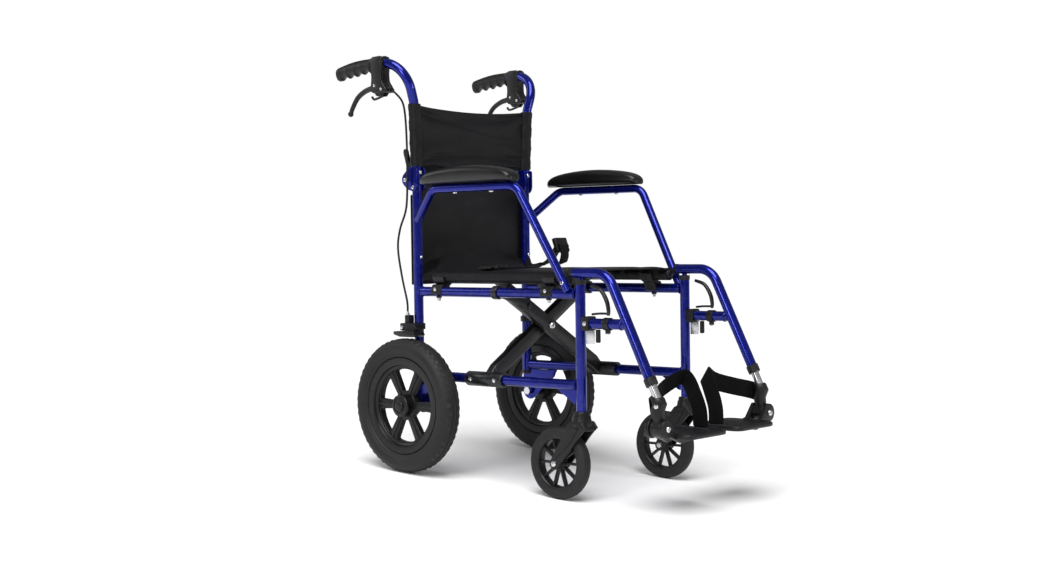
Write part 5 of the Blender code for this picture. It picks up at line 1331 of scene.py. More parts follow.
@dataclass
class Caster:
    """A swivelling caster with a forked leg and ten thin spokes."""

    shop: Workshop
    side: Side
    y: float = -0.411
    radius: float = 0.0770
    spokes: int = 10
    top: float = 0.0102
    z: float = field(init=False)

    def __post_init__(self) -> None:
        """Works out the axle's height from the floor."""
        self.z = -(AXLE_HEIGHT - self.radius - self.y * sin(TILT)) / cos(TILT)

    def build(self) -> None:
        """Builds the fork and the wheel."""
        s, word = self.side.value, self.side.word
        x = s * SIDE_X
        base = self.top - 0.030
        crown = [(0.0, 0.0), (0.0158, 0.0), (0.0168, -0.0015), (0.0172, -0.0075), (0.0188, -0.0085),
                 (0.0205, -0.018),
                 (0.0225, -0.0235), (0.0225, -0.0290), (0.0210, -0.0310), (0.0, -0.0310)]
        parts = [lathe(crown, (x, POST_Y, self.top), "z", 48)]
        toe = arc((self.y, self.z), 0.0128, 215, 385, 14)
        leg = softened([(POST_Y - 0.0285, base - 0.006), (POST_Y - 0.0170, base + 0.010),
                        (POST_Y + 0.0170, base + 0.010),
                        (POST_Y + 0.0320, base - 0.008)], 0.005) + toe[::-1]
        leg += [(POST_Y + 0.012, -0.066), (POST_Y - 0.006, -0.044)]
        for k in (-1, 1):
            low, high = sorted((x + k * 0.0158, x + k * 0.0216))
            parts.append(plate(leg, "x", low, high, 0.0020))
            outer = x + k * 0.0216
            rib = smooth([(outer, POST_Y - 0.004, base - 0.004), (outer, POST_Y + 0.024, -0.060),
                          (outer, self.y, self.z + 0.010)], 6)
            parts.append(tube(rib, 0.0034, 4, [1 - 0.4 * i / 12 for i in range(len(rib))]))
        bridge = softened([(POST_Y - 0.026, base - 0.010), (POST_Y - 0.018, base + 0.010),
                           (POST_Y + 0.018, base + 0.010),
                           (POST_Y + 0.028, base - 0.002), (POST_Y + 0.010, base - 0.0035)], 0.004)
        parts.append(plate(bridge, "x", x - 0.0180, x + 0.0180, 0.0016))
        self.shop.piece(f"caster_fork_skin_{word}", merged(parts), "moulded_black",
                        f"caster_fork_{word}_swivel", [f"caster_fork_{word}"])
        bolt = [rod((x - 0.0225, self.y, self.z), (x + 0.0225, self.y, self.z), 0.0040)]
        bolt += [bolt_head((x + k * 0.0215, self.y, self.z), (k, 0, 0), 0.0066, 0.0034) for k in (-1, 1)]
        self.shop.piece(f"caster_bolt_{word}", merged(bolt), "plated_steel", f"caster_fork_{word}_swivel")
        self.wheel(x, word)

    def wheel(self, x: float, word: str) -> None:
        """The caster's wheel.

        Args:
            x: Its place across the chair.
            word: The side's name.
        """
        centre = (x, self.y, self.z)
        half = [(0.0592, 0.0122), (0.0610, 0.0132), (0.0665, 0.0136), (0.0712, 0.0130), (0.0745, 0.0108),
                (0.0762, 0.0072), (0.0769, 0.0030), (0.0770, 0.0)]
        self.shop.piece(f"caster_tread_{word}", lathe(both_faces(half), centre, segments=96), "tyre_rubber",
                        f"caster_{word}", [f"caster_wheel_{word}"])
        ring = [(0.0510, 0.0060), (0.0516, 0.0090), (0.0530, 0.0112), (0.0560, 0.0124), (0.0593, 0.0124)]
        hub = [(0.0048, 0.0136), (0.0112, 0.0136), (0.0124, 0.0126), (0.0132, 0.0070), (0.0150, 0.0058)]
        spoke = bmesh.new()
        bmesh.ops.create_cube(spoke, size=1.0)
        bmesh.ops.scale(spoke, vec=(0.0115, 0.0400, 0.0046), verts=spoke.verts)
        bmesh.ops.bevel(spoke, geom=spoke.edges[:], offset=0.0009, segments=2, affect="EDGES")
        bmesh.ops.translate(spoke, vec=(0, 0.0328, 0), verts=spoke.verts)
        spokes = self.shop.repeater.run(Repeat.ROUND, to_mesh(spoke), self.shop.finishes["moulded_black"],
                                        Count=self.spokes)
        parts = [lathe(both_faces(ring), centre, segments=80), lathe(both_faces(hub), centre, segments=40),
                 moved(spokes, Matrix.Translation(centre))]
        self.shop.piece(f"caster_rim_{word}", merged(parts), "moulded_black", f"caster_{word}")


# ------------------------------------------------------------------ hanger and footrest
@dataclass
class Hanger:
    """The swing-away hanger, its release lever and the footrest."""

    shop: Workshop
    side: Side
    top_z: float = 0.3004
    rear_y: float = -0.4530
    bend_y: float = -0.5448
    slope: float = 0.4975
    leg_end: float = 0.0791
    cross_z: float = 0.1955
    foot: tuple[float, float] = (-0.6720, -0.0120)
    plate_top: float = -0.0260
    plate_box: tuple[float, float, float, float] = (0.0180, 0.1580, -0.7295, -0.6030)

    def leg_y(self, z: float) -> float:
        """Where the leg's middle line is at a height."""
        return self.bend_y - (self.top_z - z) * self.slope

    @property
    def down(self) -> Vector:
        """The way the leg points."""
        return Vector((0, -self.slope, -1)).normalized()

    def build(self) -> None:
        """Builds every piece of the hanger and the footrest."""
        self.frame()
        self.release()
        self.footrest()
        self.footplate()
        self.heel_loop()

    def frame(self) -> None:
        """The bent tube, the cross tube and the latch on the front post."""
        s, word = self.side.value, self.side.word
        x = s * SIDE_X
        path = bent([(x, self.rear_y, self.top_z), (x, self.bend_y, self.top_z),
                     (x, self.leg_y(self.leg_end), self.leg_end)], 0.050)
        meet = self.leg_y(self.cross_z)
        parts = [tube(path, TUBE, FRAME_BEVELS), tube([(x, POST_Y - 0.0185, self.cross_z),
                                                       (x, meet + 0.004, self.cross_z)], TUBE, FRAME_BEVELS),
                 self.shop.bead((x, meet + 0.0135, self.cross_z), (0, 1, 0.25)),
                 rod((x, POST_Y, 0.2455), (x, POST_Y, self.top_z - 0.004), 0.0058)]
        self.shop.piece(f"hanger_tube_{word}", merged(parts), "blue_enamel", f"hanger_{word}",
                        [f"hanger_frame_{word}"])
        end = Vector((x, self.leg_y(self.leg_end), self.leg_end))
        latch = softened([(POST_Y - 0.0125, self.cross_z - 0.015), (POST_Y - 0.0125, self.cross_z + 0.015),
                          (POST_Y - 0.031, self.cross_z + 0.015), (POST_Y - 0.031, self.cross_z - 0.015)],
                          0.004)
        blacks = [plate(latch, "x", x - 0.0145, x + 0.0145, 0.002),
                  rod(end - self.down * 0.012, end + self.down * 0.006, 0.0134, bevel=0.0014),
                  lathe([(0, -0.004), (0.0112, -0.004), (0.0116, 0.0), (0.0113, 0.005), (0, 0.005)],
                        (0, 0, 0), "z", 32)]
        blacks[-1].transform(Matrix.Translation((x, self.rear_y + 0.001, self.top_z))
                             @ Matrix.Rotation(-pi / 2, 4, "X"))
        band = arc((x, self.cross_z), TUBE + 0.0022, 0, 352, 44)
        band_hole = arc((x, self.cross_z), TUBE + 0.0001, 0, 352, 44)
        blacks.append(plate(band, "y", -0.5530, -0.5365, 0.0008, [band_hole]))
        blacks.append(box((x - 0.0042, -0.5490, self.cross_z - 0.0200),
                          (x + 0.0042, -0.5400, self.cross_z - 0.0100), 0.001))
        blacks.append(rod((x, -0.5185, 0.1835), (x, -0.5185, 0.1560), 0.0052, bevel=0.0016))
        self.shop.piece(f"hanger_fittings_{word}", merged(blacks), "moulded_black", f"hanger_{word}")
        shiny = [box((x - 0.0012, -0.5085, 0.1530), (x + 0.0012, -0.4870, 0.1830), 0.0005),
                 bolt_head((x + s * 0.0135, POST_Y - 0.022, self.cross_z), (s, 0, 0), 0.0050, 0.0028),
                 bolt_head((x, -0.5446, self.cross_z - 0.0200), (0, 0, -1), 0.0036, 0.0024)]
        self.shop.piece(f"hanger_bolts_{word}", merged(shiny), "plated_steel", f"hanger_{word}")

    def release(self) -> None:
        """The curved release lever between the two tubes."""
        s, word = self.side.value, self.side.word
        x = s * SIDE_X
        route = smooth([(x, -0.5460, 0.2130), (x, -0.5465, 0.2240), (x, -0.5415, 0.2440),
                        (x, -0.5260, 0.2655),
                        (x, -0.5010, 0.2745)], 8)
        finger = smooth([(x, -0.5455, 0.2170), (x, -0.5240, 0.2168), (x, -0.5030, 0.2150)], 6)
        parts = [tube(route, 0.0037, 5, [0.9 + 0.35 * sin(pi * i / len(route)) for i in range(len(route))]),
                 tube(finger, 0.0024, 4)]
        self.shop.piece(f"hanger_release_skin_{word}", merged(parts), "satin_black_steel",
                        f"hanger_release_{word}", [f"hanger_release_lever_{word}"])

    def footrest(self) -> None:
        """The sliding inner tube and the socket that carries the footplate's hinge."""
        s, word = self.side.value, self.side.word
        x = s * SIDE_X
        end = Vector((x, self.leg_y(self.leg_end), self.leg_end))
        inner = rod(end - self.down * 0.080, (x, self.leg_y(0.030), 0.030), 0.0085)
        foot_y, foot_z = self.foot
        pin = [inner, bolt_head((x, foot_y - 0.0235, foot_z), (0, -1, 0), 0.0066, 0.0034),
               bolt_head((x + s * 0.0150, self.leg_y(0.034), 0.034), (s, 0, 0), 0.0050, 0.0028)]
        self.shop.piece(f"footrest_steel_{word}", merged(pin), "plated_steel", f"footrest_{word}")
        socket = loft([[(x + r * cos(radians(a)), y + r * sin(radians(a)), z) for a in range(0, 360, 12)]
                       for r, y, z in ((0.0135, self.leg_y(0.052), 0.0520),
                                       (0.0150, self.leg_y(0.050), 0.0495),
                                       (0.0150, self.leg_y(0.040) - 0.001, 0.0380),
                                       (0.0142, foot_y + 0.003, 0.0200),
                                       (0.0125, foot_y, 0.0060), (0.0105, foot_y, -0.0060))])
        knuckle = rod((x, foot_y - 0.012, foot_z), (x, foot_y + 0.012, foot_z), 0.0168, bevel=0.002, sides=40)
        self.shop.piece(f"footrest_socket_{word}", merged([socket, knuckle]), "moulded_black",
                        f"footrest_{word}", [f"footrest_tube_{word}"])

    def footplate(self) -> None:
        """The moulded footplate, its ribs and its two hinge arms."""
        s, word = self.side.value, self.side.word
        inner, outer, front, rear = self.plate_box
        foot_y, foot_z = self.foot
        bottom = self.plate_top - 0.009
        outline = softened([(s * outer, rear), (s * inner, rear), (s * inner, front), (s * outer, front)],
                           0.024, 8)
        parts = [plate(outline, "z", bottom, self.plate_top, 0.0026)]
        lip = [(s * (outer - 0.004), rear - 0.004), (s * (inner + 0.004), rear - 0.004),
               (s * (inner + 0.004), front + 0.004), (s * (outer - 0.004), front + 0.004)]
        rim = [(px, py, self.plate_top) for px, py in softened(lip, 0.022, 8)]
        parts.append(tube(rim + rim[:1], 0.0014, 3))
        bar = box((s * (inner + 0.022), front + 0.020, self.plate_top - 0.001),
                  (s * (outer - 0.030), front + 0.0232, self.plate_top + 0.0010), 0.0006)
        parts.append(self.shop.repeater.run(Repeat.ROW, bar, self.shop.finishes["moulded_black"], Count=12,
                                            Offset=(0.0, 0.0082, 0.0)))
        for k in (-1, 1):
            near = foot_y + k * 0.0128
            low, high = sorted((near, near + k * 0.010))
            arm = arc((SIDE_X, foot_z), 0.0200, 100, -120, 24)
            arm += [(outer - 0.022, bottom - 0.010), (outer - 0.075, bottom - 0.002),
                    (outer - 0.080, bottom + 0.002),
                    (outer - 0.022, self.plate_top + 0.001), (outer - 0.002, self.plate_top + 0.005)]
            parts.append(plate([(s * a, b) for a, b in arm], "y", low, high, 0.0016))
        self.shop.piece(f"footplate_skin_{word}", merged(parts), "moulded_black", f"footplate_{word}_flap",
                        [f"footplate_{word}"])

    def heel_loop(self) -> None:
        """The webbing heel loop with its stitched ends."""
        s, word = self.side.value, self.side.word
        foot_y = self.foot[0]
        inner = self.plate_box[0] + 0.010
        route = [(SIDE_X + 0.0075, 0.0165, 0.0320, 0.00, 1.0), (SIDE_X - 0.0170, 0.0225, 0.0390, -0.03, 1.0),
                 (SIDE_X - 0.0420, 0.0400, 0.0460, -0.10, 1.0), (SIDE_X - 0.0950, 0.0560, 0.0610, -0.20, 1.0),
                 (inner + 0.0160, 0.0470, 0.0790, -0.45, 0.9), (inner + 0.0060, 0.0370, 0.0740, -0.80, 0.5),
                 (inner + 0.0030, 0.0240, 0.0480, -1.00, 0.1), (inner + 0.0010, 0.0110, 0.0120, -1.00, 0.0),
                 (inner + 0.0005, 0.0090, self.plate_top + 0.0018, -1.00, 0.0)]
        points = smooth([(s * a, foot_y + b, c) for a, b, c, _, _ in route], 8)
        acrosses = smooth([(0.0, d, e) for *_, d, e in route], 8)
        body = self.shop.piece(f"heel_loop_skin_{word}", strap(points, acrosses, WEBBING, 0.0028),
                               "strap_webbing",
                               "", [f"heel_loop_{word}"], subdivide=1)
        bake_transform(body)
        rows = []
        for reach in (5, 12):
            middle, flat = points[reach], Vector(acrosses[reach]).normalized()
            along = (points[reach + 1] - middle).normalized()
            normal = along.cross(flat).normalized() * 0.0016
            for face in (-1, 1):
                rows.append(self.shop.stitches([middle + flat * (-0.016 + 0.0032 * i) + normal * face
                                                for i in range(11)], 0.0034))
        self.shop.piece(f"heel_loop_stitches_{word}", merged(rows), "stitch_thread", f"footrest_{word}")


# ------------------------------------------------------------------ scissor and seat
@dataclass
class Scissor:
    """The two crossed braces with the seat tubes and steadying links."""

    shop: Workshop
    centre_z: float = 0.176
    half: float = 0.21574
    angle: float = 0.54040
    plane_y: float = -0.2115
    spacing: float = 0.0210
    depth: float = 0.032
    thickness: float = 0.019

    def at(self, side: Side, along: float, above: float) -> tuple[float, float]:
        """A point (x, z) on the brace whose foot is on this side.

        Args:
            side: The foot's side.
            along: Distance up the brace from the middle bolt.
            above: Distance across it.

        Returns:
            The point.
        """
        x = along * cos(self.angle) - above * sin(self.angle)
        return -side.value * x, self.centre_z + along * sin(self.angle) + above * cos(self.angle)

    def plane(self, side: Side) -> float:
        """The middle plane of the brace with its foot on this side."""
        return self.plane_y - side.value * self.spacing / 2

    def build(self) -> None:
        """Builds both braces, both links and both seat tubes."""
        for side, body in ((Side.RIGHT, "brace_a"), (Side.LEFT, "brace_b")):
            self.brace(side, body)
            self.link(side)

    def brace(self, side: Side, body: str) -> None:
        """One brace with its sleeve, saddle lug and seat tube.

        Args:
            side: The side of its foot.
            body: The body it rides on.
        """
        s, word, y = side.value, side.word, self.plane(side)
        other = Side.LEFT if side is Side.RIGHT else Side.RIGHT
        low, high = y - self.thickness / 2, y + self.thickness / 2
        top = self.half - 0.0477
        outline = [self.at(side, -self.half + 0.006, -0.016), self.at(side, top, -0.016),
                   self.at(side, top + 0.006, 0.0), self.at(side, top, 0.016),
                   self.at(side, -self.half + 0.034, 0.016),
                   self.at(side, -self.half + 0.012, 0.010)]
        seat_x = -s * SEAT_TUBE_X
        parts = [plate(softened(outline, 0.003), "y", low, high, 0.0022)]
        root = [self.at(side, top - 0.026, -0.010), self.at(side, top - 0.026, 0.012)]
        toward = atan2(SEAT_TUBE_Z - root[1][1], seat_x - root[1][0])
        wing = TUBE + 0.001
        sides = [(seat_x + wing * cos(toward + k * pi / 2), SEAT_TUBE_Z + wing * sin(toward + k * pi / 2))
                 for k in ((-1, 1) if s < 0 else (1, -1))]
        parts.append(plate([root[0], *sides, root[1]], "y", y - 0.0076, y + 0.0076, 0.0014))
        sleeve = [(TUBE + 0.0007, -0.054), (0.0155, -0.054), (0.0165, -0.0525), (0.0165, 0.0525),
                  (0.0155, 0.054),
                  (TUBE + 0.0007, 0.054)]
        collar = lathe(sleeve, (0, 0, 0), "z", 40)
        collar.transform(Matrix.Translation((s * SIDE_X, y, LOWER_Z)) @ Matrix.Rotation(pi / 2, 4, "X"))
        parts.append(collar)
        parts.append(tube([(seat_x, -0.033, SEAT_TUBE_Z), (seat_x, -0.442, SEAT_TUBE_Z)], TUBE, FRAME_BEVELS))
        self.shop.piece(f"brace_skin_{word}", merged(parts), "satin_black_steel", body,
                        [f"cross_brace_{word}", f"seat_tube_{other.word}"])
        plugs = []
        for end, facing in ((-0.4425, -1), (-0.0325, 1)):
            plug = lathe([(0, 0.004), (0.006, 0.0035), (0.0108, 0.001), (0.0114, -0.001), (0, -0.001)],
                         (0, 0, 0), "z", 28)
            plug.transform(Matrix.Translation((seat_x, end,
                                               SEAT_TUBE_Z)) @ Matrix.Rotation(-facing * pi / 2, 4, "X"))
            plugs.append(plug)
        for along in (-self.half + 0.030, top - 0.006):
            px, pz = self.at(side, along, 0.0)
            plugs.append(rod((px, low - 0.0012, pz), (px, high + 0.0012, pz), 0.0075, bevel=0.0008))
        self.shop.piece(f"brace_plugs_{word}", merged(plugs), "moulded_black", body)
        steel = []
        if side is Side.RIGHT:
            steel = [bolt_head((0, self.plane_y + 0.0205, self.centre_z), (0, 1, 0), 0.0085, 0.0050),
                     bolt_head((0, self.plane_y - 0.0205, self.centre_z), (0, -1, 0), 0.0085, 0.0050),
                     rod((0, self.plane_y - 0.021, self.centre_z), (0, self.plane_y + 0.021, self.centre_z),
                         0.005)]
        for k in (-0.036, 0.036):
            steel.append(bolt_head((s * (SIDE_X + 0.0163), y + k, LOWER_Z), (s, 0, 0), 0.0050, 0.0028))
        self.shop.piece(f"brace_bolts_{word}", merged(steel), "plated_steel", body)

    def link(self, side: Side) -> None:
        """The steadying link that turns on the seat rail.

        Args:
            side: Which side frame it hangs from.
        """
        s, word = side.value, side.word
        other = Side.LEFT if side is Side.RIGHT else Side.RIGHT
        y = self.plane(other) + s * 0.0128
        tilt = radians(-17.2)
        ux, uz = -s * cos(tilt), sin(tilt)
        nx, nz = -uz, ux
        outline = []
        for along, across in ((0.004, 0.008), (0.004, -0.008), (0.110, -0.007), (0.117, -0.0035),
                              (0.117, 0.0035),
                              (0.110, 0.007)):
            outline.append((s * SIDE_X + ux * along + nx * across, RAIL_Z + uz * along + nz * across))
        ring = [(TUBE + 0.0007, -0.0075), (0.0142, -0.0075), (0.0150, -0.0065), (0.0150, 0.0065),
                (0.0142, 0.0075),
                (TUBE + 0.0007, 0.0075)]
        collar = lathe(ring, (0, 0, 0), "z", 40)
        collar.transform(Matrix.Translation((s * SIDE_X, y, RAIL_Z)) @ Matrix.Rotation(pi / 2, 4, "X"))
        pin = (s * SIDE_X + ux * 0.108, RAIL_Z + uz * 0.108)
        parts = [collar, plate(softened(outline, 0.003), "y", y - 0.0025, y + 0.0025, 0.0006),
                 rod((pin[0], y + s * 0.001, pin[1]), (pin[0], y + s * 0.0055, pin[1]), 0.0055)]
        self.shop.piece(f"brace_link_skin_{word}", merged(parts), "satin_black_steel", f"link_{word}",
                        [f"brace_link_{word}"])


@dataclass
class Upholstery:
    """The seat, both back panels and the lap belt."""

    shop: Workshop
    front: float = -0.4415
    rear: float = -0.0335
    cloth: float = 0.0026
    crown: float = 0.0030
    flap_from: float = 0.90
    flap_height: float = 0.040
    flap_reach: float = 0.036
    upper_low: float = 0.5430
    upper_high: float = 0.6846
    sleeve_steps: int = 24

    def build(self) -> None:
        """Builds every cloth piece."""
        self.seat()
        self.lower_back()
        self.upper_back()
        self.belt()

    def sheet(self, rows: int, columns: int, place: object, thickness: float) -> Mesh:
        """A closed sheet of cloth from a surface function.

        Args:
            rows: Steps in the first direction.
            columns: Steps in the second.
            place: Gives a point and its normal from two shares.
            thickness: The cloth's thickness.

        Returns:
            The mesh.
        """
        bm = bmesh.new()
        layers = []
        for face in (0.5, -0.5):
            grid = []
            for i in range(rows + 1):
                line = []
                for j in range(columns + 1):
                    point, normal = place(i / rows, j / columns)
                    line.append(bm.verts.new(point + normal * thickness * face))
                grid.append(line)
            layers.append(grid)
        for grid in layers:
            for i in range(rows):
                for j in range(columns):
                    bm.faces.new((grid[i][j], grid[i + 1][j], grid[i + 1][j + 1], grid[i][j + 1]))
        top, under = layers
        for i in range(rows):
            for j in (0, columns):
                bm.faces.new((top[i][j], top[i + 1][j], under[i + 1][j], under[i][j]))
        for j in range(columns):
            for i in (0, rows):
                bm.faces.new((top[i][j], top[i][j + 1], under[i][j + 1], under[i][j]))
        return to_mesh(bm)

    def wrinkle(self, u: float, v: float, seed: float) -> float:
        """Soft folds that run in from the corners and along the edges, as a share of their height.

        Args:
            u: Share across, from 0 to 1.
            v: Share along, from 0 to 1.
            seed: Shifts the pattern from panel to panel.

        Returns:
            The rise.
        """
        total = 0.0
        for corner_u, corner_v, turn in ((0, 0, 0.9), (1, 0, -0.9), (0, 1, -0.8), (1, 1, 0.8)):
            du, dv = u - corner_u, v - corner_v
            far = sqrt(du * du + dv * dv)
            angle = atan2(dv, du)
            total += exp(-(far / 0.42) ** 2) * sin(7 * angle * turn + 9 * far + seed) * min(1.0, far * 6)
        total += 0.55 * exp(-((v - 0.18 - 0.1 * sin(3 * u + seed)) / 0.055) ** 2) * sin(pi * u)
        total += 0.40 * exp(-((v - 0.62 + 0.12 * sin(4 * u + seed)) / 0.05) ** 2) * sin(pi * u)
        return total * sin(pi * min(1.0, max(0.0, u))) ** 0.35

    def seat(self) -> None:
        """The sling seat, whose two sleeves wrap the seat tubes."""
        outer = TUBE + self.cloth / 2 + 0.0004
        flat = 2 * SEAT_TUBE_X
        wrap = outer * 1.5 * pi
        full = flat + 2 * wrap
        depth = self.rear - self.front

        def place(u: float, v: float) -> tuple[Vector, Vector]:
            """A point and normal on the seat's surface, whose rear edge turns up against the back."""
            flap = max(0.0, (v - self.flap_from) / (1 - self.flap_from))
            y = self.front + depth * min(1.0, v / self.flap_from)
            run = u * full
            if run < wrap or run > full - wrap:
                sign = -1 if run < wrap else 1
                back = (wrap - run if sign < 0 else run - (full - wrap)) / outer
                normal = Vector((sign * sin(back), 0, cos(back)))
                return Vector((sign * SEAT_TUBE_X, y, SEAT_TUBE_Z)) + normal * outer, normal
            share = (run - wrap) / flat
            x = -SEAT_TUBE_X + flat * share
            bend = max(0.0, 1 - (x / SEAT_TUBE_X) ** 2)
            edge = min(1.0, 9 * min(share, 1 - share))
            crease = exp(-((SEAT_TUBE_X - abs(x) - 0.016) / 0.006) ** 2)
            rise = self.crown * bend**0.5 * edge - 0.0026 * crease + 0.0022 * self.wrinkle(share, v,
                                                                                           0.6) * edge
            lift = self.flap_height * sqrt(bend) * flap**1.6 * edge
            reach = self.flap_reach * sqrt(bend) * sin(flap * pi / 2)
            slope = 1.3 * flap * sqrt(bend) * edge
            normal = Vector((0, -slope, 1)).normalized()
            return Vector((x, y + reach, SEAT_TUBE_Z + outer + rise + lift)), normal

        mesh = self.sheet(150, 90, place, self.cloth)
        seat = self.shop.piece("seat_cloth", mesh, "sling_nylon", "", ["seat_sling"])
        rows = []
        for share in (0.030, 0.055, 0.945, 0.970):
            line = []
            for step in range(41):
                point, normal = place((wrap + flat * share) / full, 0.01 + 0.98 * step / 40)
                line.append(point + normal * (self.cloth / 2 + HEM_LIFT))
            rows.append(self.shop.stitches(line))
        for v in (0.02, 0.035, 0.890, 0.985):
            line = []
            for step in range(61):
                point, normal = place((wrap + flat * (0.06 + 0.88 * step / 60)) / full, v)
                line.append(point + normal * (self.cloth / 2 + HEM_LIFT))
            rows.append(self.shop.stitches(line))
        threads = self.shop.piece("seat_stitches", merged(rows), "stitch_thread", "")
        for made in (seat, threads):
            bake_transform(made)

    def panel(self, name: str, low: float, high: float, half: tuple[float, float], y: float, sag: float,
              dip: float, body: str, node: str, seed: float, seams: Sequence[float], tuck: float) -> None:
        """One back panel with hems, seams and folds.

        Args:
            name: The piece's name.
            low: Its lower edge.
            high: Its upper edge.
            half: Half its width at the bottom and at the top.
            y: Where it stands.
            sag: How far its middle bows rearward.
            dip: How far its top edge dips.
            body: The body it rides on.
            node: The CAD node it replaces.
            seed: Shifts its folds.
            seams: Shares of its height with a seam.
            tuck: Half the width taken in above the hinge, or 0.
        """
        tall = high - low

        def place(u: float, v: float) -> tuple[Vector, Vector]:
            """A point and normal on the panel's surface."""
            wide = half[0] + (half[1] - half[0]) * v
            if tuck and low + tall * v > 0.478:
                ease = min(1.0, (low + tall * v - 0.478) / 0.006)
                wide += (tuck - wide) * ease
            x = -wide + 2 * wide * u
            bend = 1 - (2 * u - 1) ** 2
            z = low + tall * v - dip * bend * v**3
            rise = 0.0058 * self.wrinkle(u, v, seed)
            for seam in seams:
                rise -= 0.0016 * exp(-((v - seam) * tall / 0.0035) ** 2)
            puff = 0.0022 * sin(pi * u) ** 0.5 * sin(pi * v) ** 0.5
            return Vector((x, y + sag * bend - rise - puff, z)), Vector((0, -1, 0))

        mesh = self.sheet(120, 90, place, self.cloth)
        made = self.shop.piece(name, mesh, "sling_nylon", body, [node])
        rows = []
        for v in [0.03, 0.97] + [seam + k * 0.012 / tall * 0.35 for seam in seams for k in (-1, 1)]:
            for face in (-1, 1):
                line = []
                for step in range(61):
                    point, normal = place(0.03 + 0.94 * step / 60, v)
                    line.append(point + normal * face * (self.cloth / 2 + HEM_LIFT))
                rows.append(self.shop.stitches(line))
        for u in (0.07, 0.93):
            line = []
            for step in range(31):
                point, normal = place(u, 0.02 + 0.96 * step / 30)
                line.append(point + normal * (self.cloth / 2 + HEM_LIFT))
            rows.append(self.shop.stitches(line))
        threads = self.shop.piece(f"{name}_stitches", merged(rows), "stitch_thread", body)
        for piece in (made, threads):
            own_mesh(piece)

    def lower_back(self) -> None:
        """The lower panel, screwed behind the uprights."""
        y = UPRIGHT_Y + TUBE + 0.0003 + self.cloth / 2
        self.panel("back_cloth_lower", 0.272, 0.551, (0.193, 0.193), y, 0.004, 0.003, "frame_right",
                   "back_sling_lower", 2.1, (0.90,), 0.165)

    def upper_back(self) -> None:
        """The upper panel and the two sleeves that hold it to the canes."""
        self.panel("back_cloth_upper", self.upper_low, self.upper_high, (0.1865, 0.1930), UPRIGHT_Y - 0.0020,
                   0.012, 0.010,
                   "back_right", "back_sling_upper", 4.4, (0.20,), 0.0)
        for side in Side:
            s, rings = side.value, []
            for i in range(self.sleeve_steps + 1):
                z = self.upper_low + (self.upper_high - self.upper_low) * i / self.sleeve_steps
                share = (z - 0.505) / (0.6856 - 0.505)
                x, y = s * (SIDE_X + 0.008 * share), UPRIGHT_Y - 0.003 * share
                ripple = 0.0006 * sin(i * 0.9) + 0.0004 * sin(i * 2.3)
                radius = TUBE + 0.0024 + ripple * (0 < i < self.sleeve_steps)
                turns = [2 * pi * k / 32 for k in range(32)]
                rings.append([(x + radius * cos(turn) - s * 0.0035 * max(0.0, -s * cos(turn)) ** 3,
                               y + radius * sin(turn), z) for turn in turns])
            self.shop.piece(f"back_sleeve_{side.word}", loft(rings), "sling_nylon", f"back_{side.word}")

    def belt(self) -> None:
        """The lap belt half that lies on the seat, with its buckle and its bunched end."""
        top = SEAT_TUBE_Z + TUBE + 0.0070
        route = [(0.176, -0.012, top - 0.004), (0.166, -0.030, top + 0.004), (0.140, -0.060, top + 0.0025),
                 (0.090, -0.100, top), (0.020, -0.130, top + 0.0005), (-0.060, -0.150, top + 0.0005),
                 (-0.105, -0.160, top - 0.0005)]
        points = smooth(route, 8)
        mesh = strap(points, [(0.45, 0.9, 0.0)] * len(points), WEBBING, 0.0022)
        bunch = smooth([(0.150, -0.070, top + 0.002), (0.158, -0.095, top + 0.016),
                        (0.156, -0.122, top + 0.046),
                        (0.150, -0.142, top + 0.050), (0.146, -0.150, top + 0.028),
                        (0.150, -0.140, top + 0.006)], 8)
        loop = strap(bunch, [(1.0, 0.15, 0.0)] * len(bunch), 0.036, 0.0022)
        belt = self.shop.piece("lap_belt", merged([mesh, loop]), "strap_webbing", "frame_left",
                               ["seat_belt"], subdivide=1)
        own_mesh(belt)
        turn = Matrix.Translation((-0.112, -0.162, top + 0.0025)) @ Matrix.Rotation(radians(12), 4, "Z")
        tongue = box((-0.030, -0.0235, -0.004), (0.020, 0.0235, 0.0055), 0.0028)
        slot = box((-0.002, -0.0130, 0.0045), (0.006, 0.0130, 0.0072), 0.0010)
        buckle = merged([moved(tongue, turn), moved(slot, turn),
                         moved(box((-0.046, -0.015, -0.0025), (-0.028, 0.015, 0.0030), 0.0014), turn)])
        far = Matrix.Translation((0.150, -0.134, top + 0.052)) @ Matrix.Rotation(radians(70), 4, "X")
        buckle = merged([buckle, moved(box((-0.022, -0.020, -0.006), (0.022, 0.016, 0.006), 0.003), far)])
        made = self.shop.piece("lap_belt_buckle", buckle, "moulded_black", "frame_left")
        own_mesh(made)


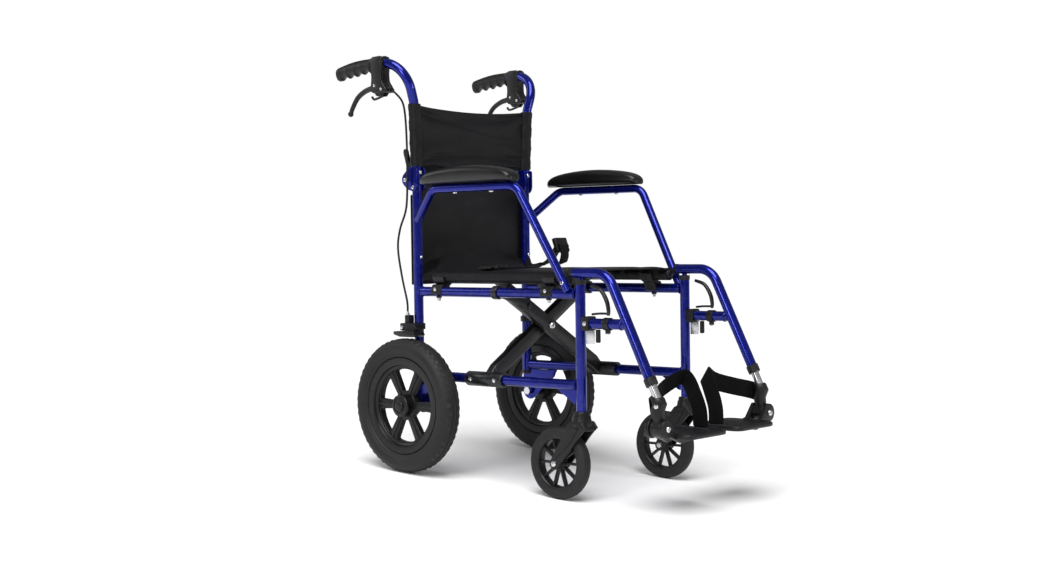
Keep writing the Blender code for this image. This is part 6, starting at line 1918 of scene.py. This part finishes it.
# ------------------------------------------------------------------ studio
@dataclass
class Studio:
    """The pale floor, the soft lights and the camera."""

    camera_at: tuple[float, float, float] = (-2.7062, -2.3073, 0.6897)
    azimuth: float = -48.33
    elevation: float = 4.13
    roll: float = 1.962
    lens: float = 53.97
    surround: float = 0.26
    key_strength: float = 3.40

    def build(self) -> None:
        """Sets up the stage."""
        self.camera()
        self.floor()
        self.lights()

    def camera(self) -> None:
        """Places the camera."""
        a, e, r = radians(self.azimuth), radians(self.elevation), radians(self.roll)
        back = Vector((sin(a) * cos(e), -cos(a) * cos(e), sin(e)))
        right = Vector((cos(a), sin(a), 0))
        up = back.cross(right)
        turned_right = cos(r) * right + sin(r) * up
        turned_up = -sin(r) * right + cos(r) * up
        data = bpy.data.cameras.new("camera")
        data.lens = self.lens
        data.sensor_width = 36.0
        data.clip_end = 60.0
        camera = bpy.data.objects.new("camera", data)
        turn = Matrix((turned_right, turned_up, back)).transposed().to_4x4()
        camera.matrix_world = Matrix.Translation(self.camera_at) @ turn
        bpy.context.scene.collection.objects.link(camera)
        bpy.context.scene.camera = camera

    def floor(self) -> None:
        """Lays the pale floor."""
        bm = bmesh.new()
        bmesh.ops.create_grid(bm, x_segments=1, y_segments=1, size=30.0)
        mesh = to_mesh(bm)
        floor = bpy.data.objects.new("studio_floor", mesh)
        material = bpy.data.materials.new("studio_white")
        material.use_nodes = True
        shader = material.node_tree.nodes["Principled BSDF"]
        shader.inputs["Base Color"].default_value = (0.93, 0.93, 0.935, 1)
        shader.inputs["Roughness"].default_value = 0.55
        shader.inputs["Specular IOR Level"].default_value = 0.25
        mesh.materials.append(material)
        bpy.context.scene.collection.objects.link(floor)

    def lights(self) -> None:
        """Hangs the lights and sets a white surround that throws only a little light itself."""
        bpy.context.scene.view_settings.view_transform = "Standard"
        world = bpy.data.worlds.new("studio_surround")
        world.use_nodes = True
        bench = Bench(world.node_tree)
        seen = bench.add("ShaderNodeLightPath").outputs["Is Camera Ray"]
        strength = bench.add("ShaderNodeMapRange", {0: seen, 3: self.surround, 4: 1.0}).outputs[0]
        backdrop = world.node_tree.nodes["Background"]
        backdrop.inputs[0].default_value = (1.0, 1.0, 1.0, 1)
        world.node_tree.links.new(strength, backdrop.inputs[1])
        bpy.context.scene.world = world
        key = bpy.data.lights.new("high_key", "SUN")
        key.energy = self.key_strength
        key.angle = radians(42)
        lamp = bpy.data.objects.new("high_key", key)
        lamp.rotation_euler = Vector((-0.45, -0.25, 1.0)).to_track_quat("Z", "Y").to_euler()
        bpy.context.scene.collection.objects.link(lamp)
        for name, at, size, power in (("front_box", (-3.2, -0.6, 1.7), 0.8, 24.0),
                                      ("side_box", (1.2, -3.2, 1.5), 0.8, 22.0),
                                      ("rear_box", (-1.6, 3.0, 1.8), 1.2, 15.0)):
            data = bpy.data.lights.new(name, "AREA")
            data.size = size
            data.energy = power
            lamp = bpy.data.objects.new(name, data)
            lamp.location = at
            lamp.rotation_euler = (Vector(at) - Vector((0, 0, 0.45))).to_track_quat("Z", "Y").to_euler()
            bpy.context.scene.collection.objects.link(lamp)


def main() -> None:
    """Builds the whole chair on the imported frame."""
    logging.basicConfig(level=logging.INFO, format="%(name)s: %(message)s")
    bpy.ops.object.select_all(action="SELECT")
    bpy.ops.object.delete()
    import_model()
    Studio().build()
    shop = Workshop(FinishShop(), Repeater())
    for side in Side:
        for assembly in (SideFrame, UpperBack, RearWheel, Caster, Hanger):
            assembly(shop, side).build()
    Scissor(shop).build()
    Upholstery(shop).build()
    LOG.info("%d pieces in all", shop.count)


if __name__ == "__main__":
    main()
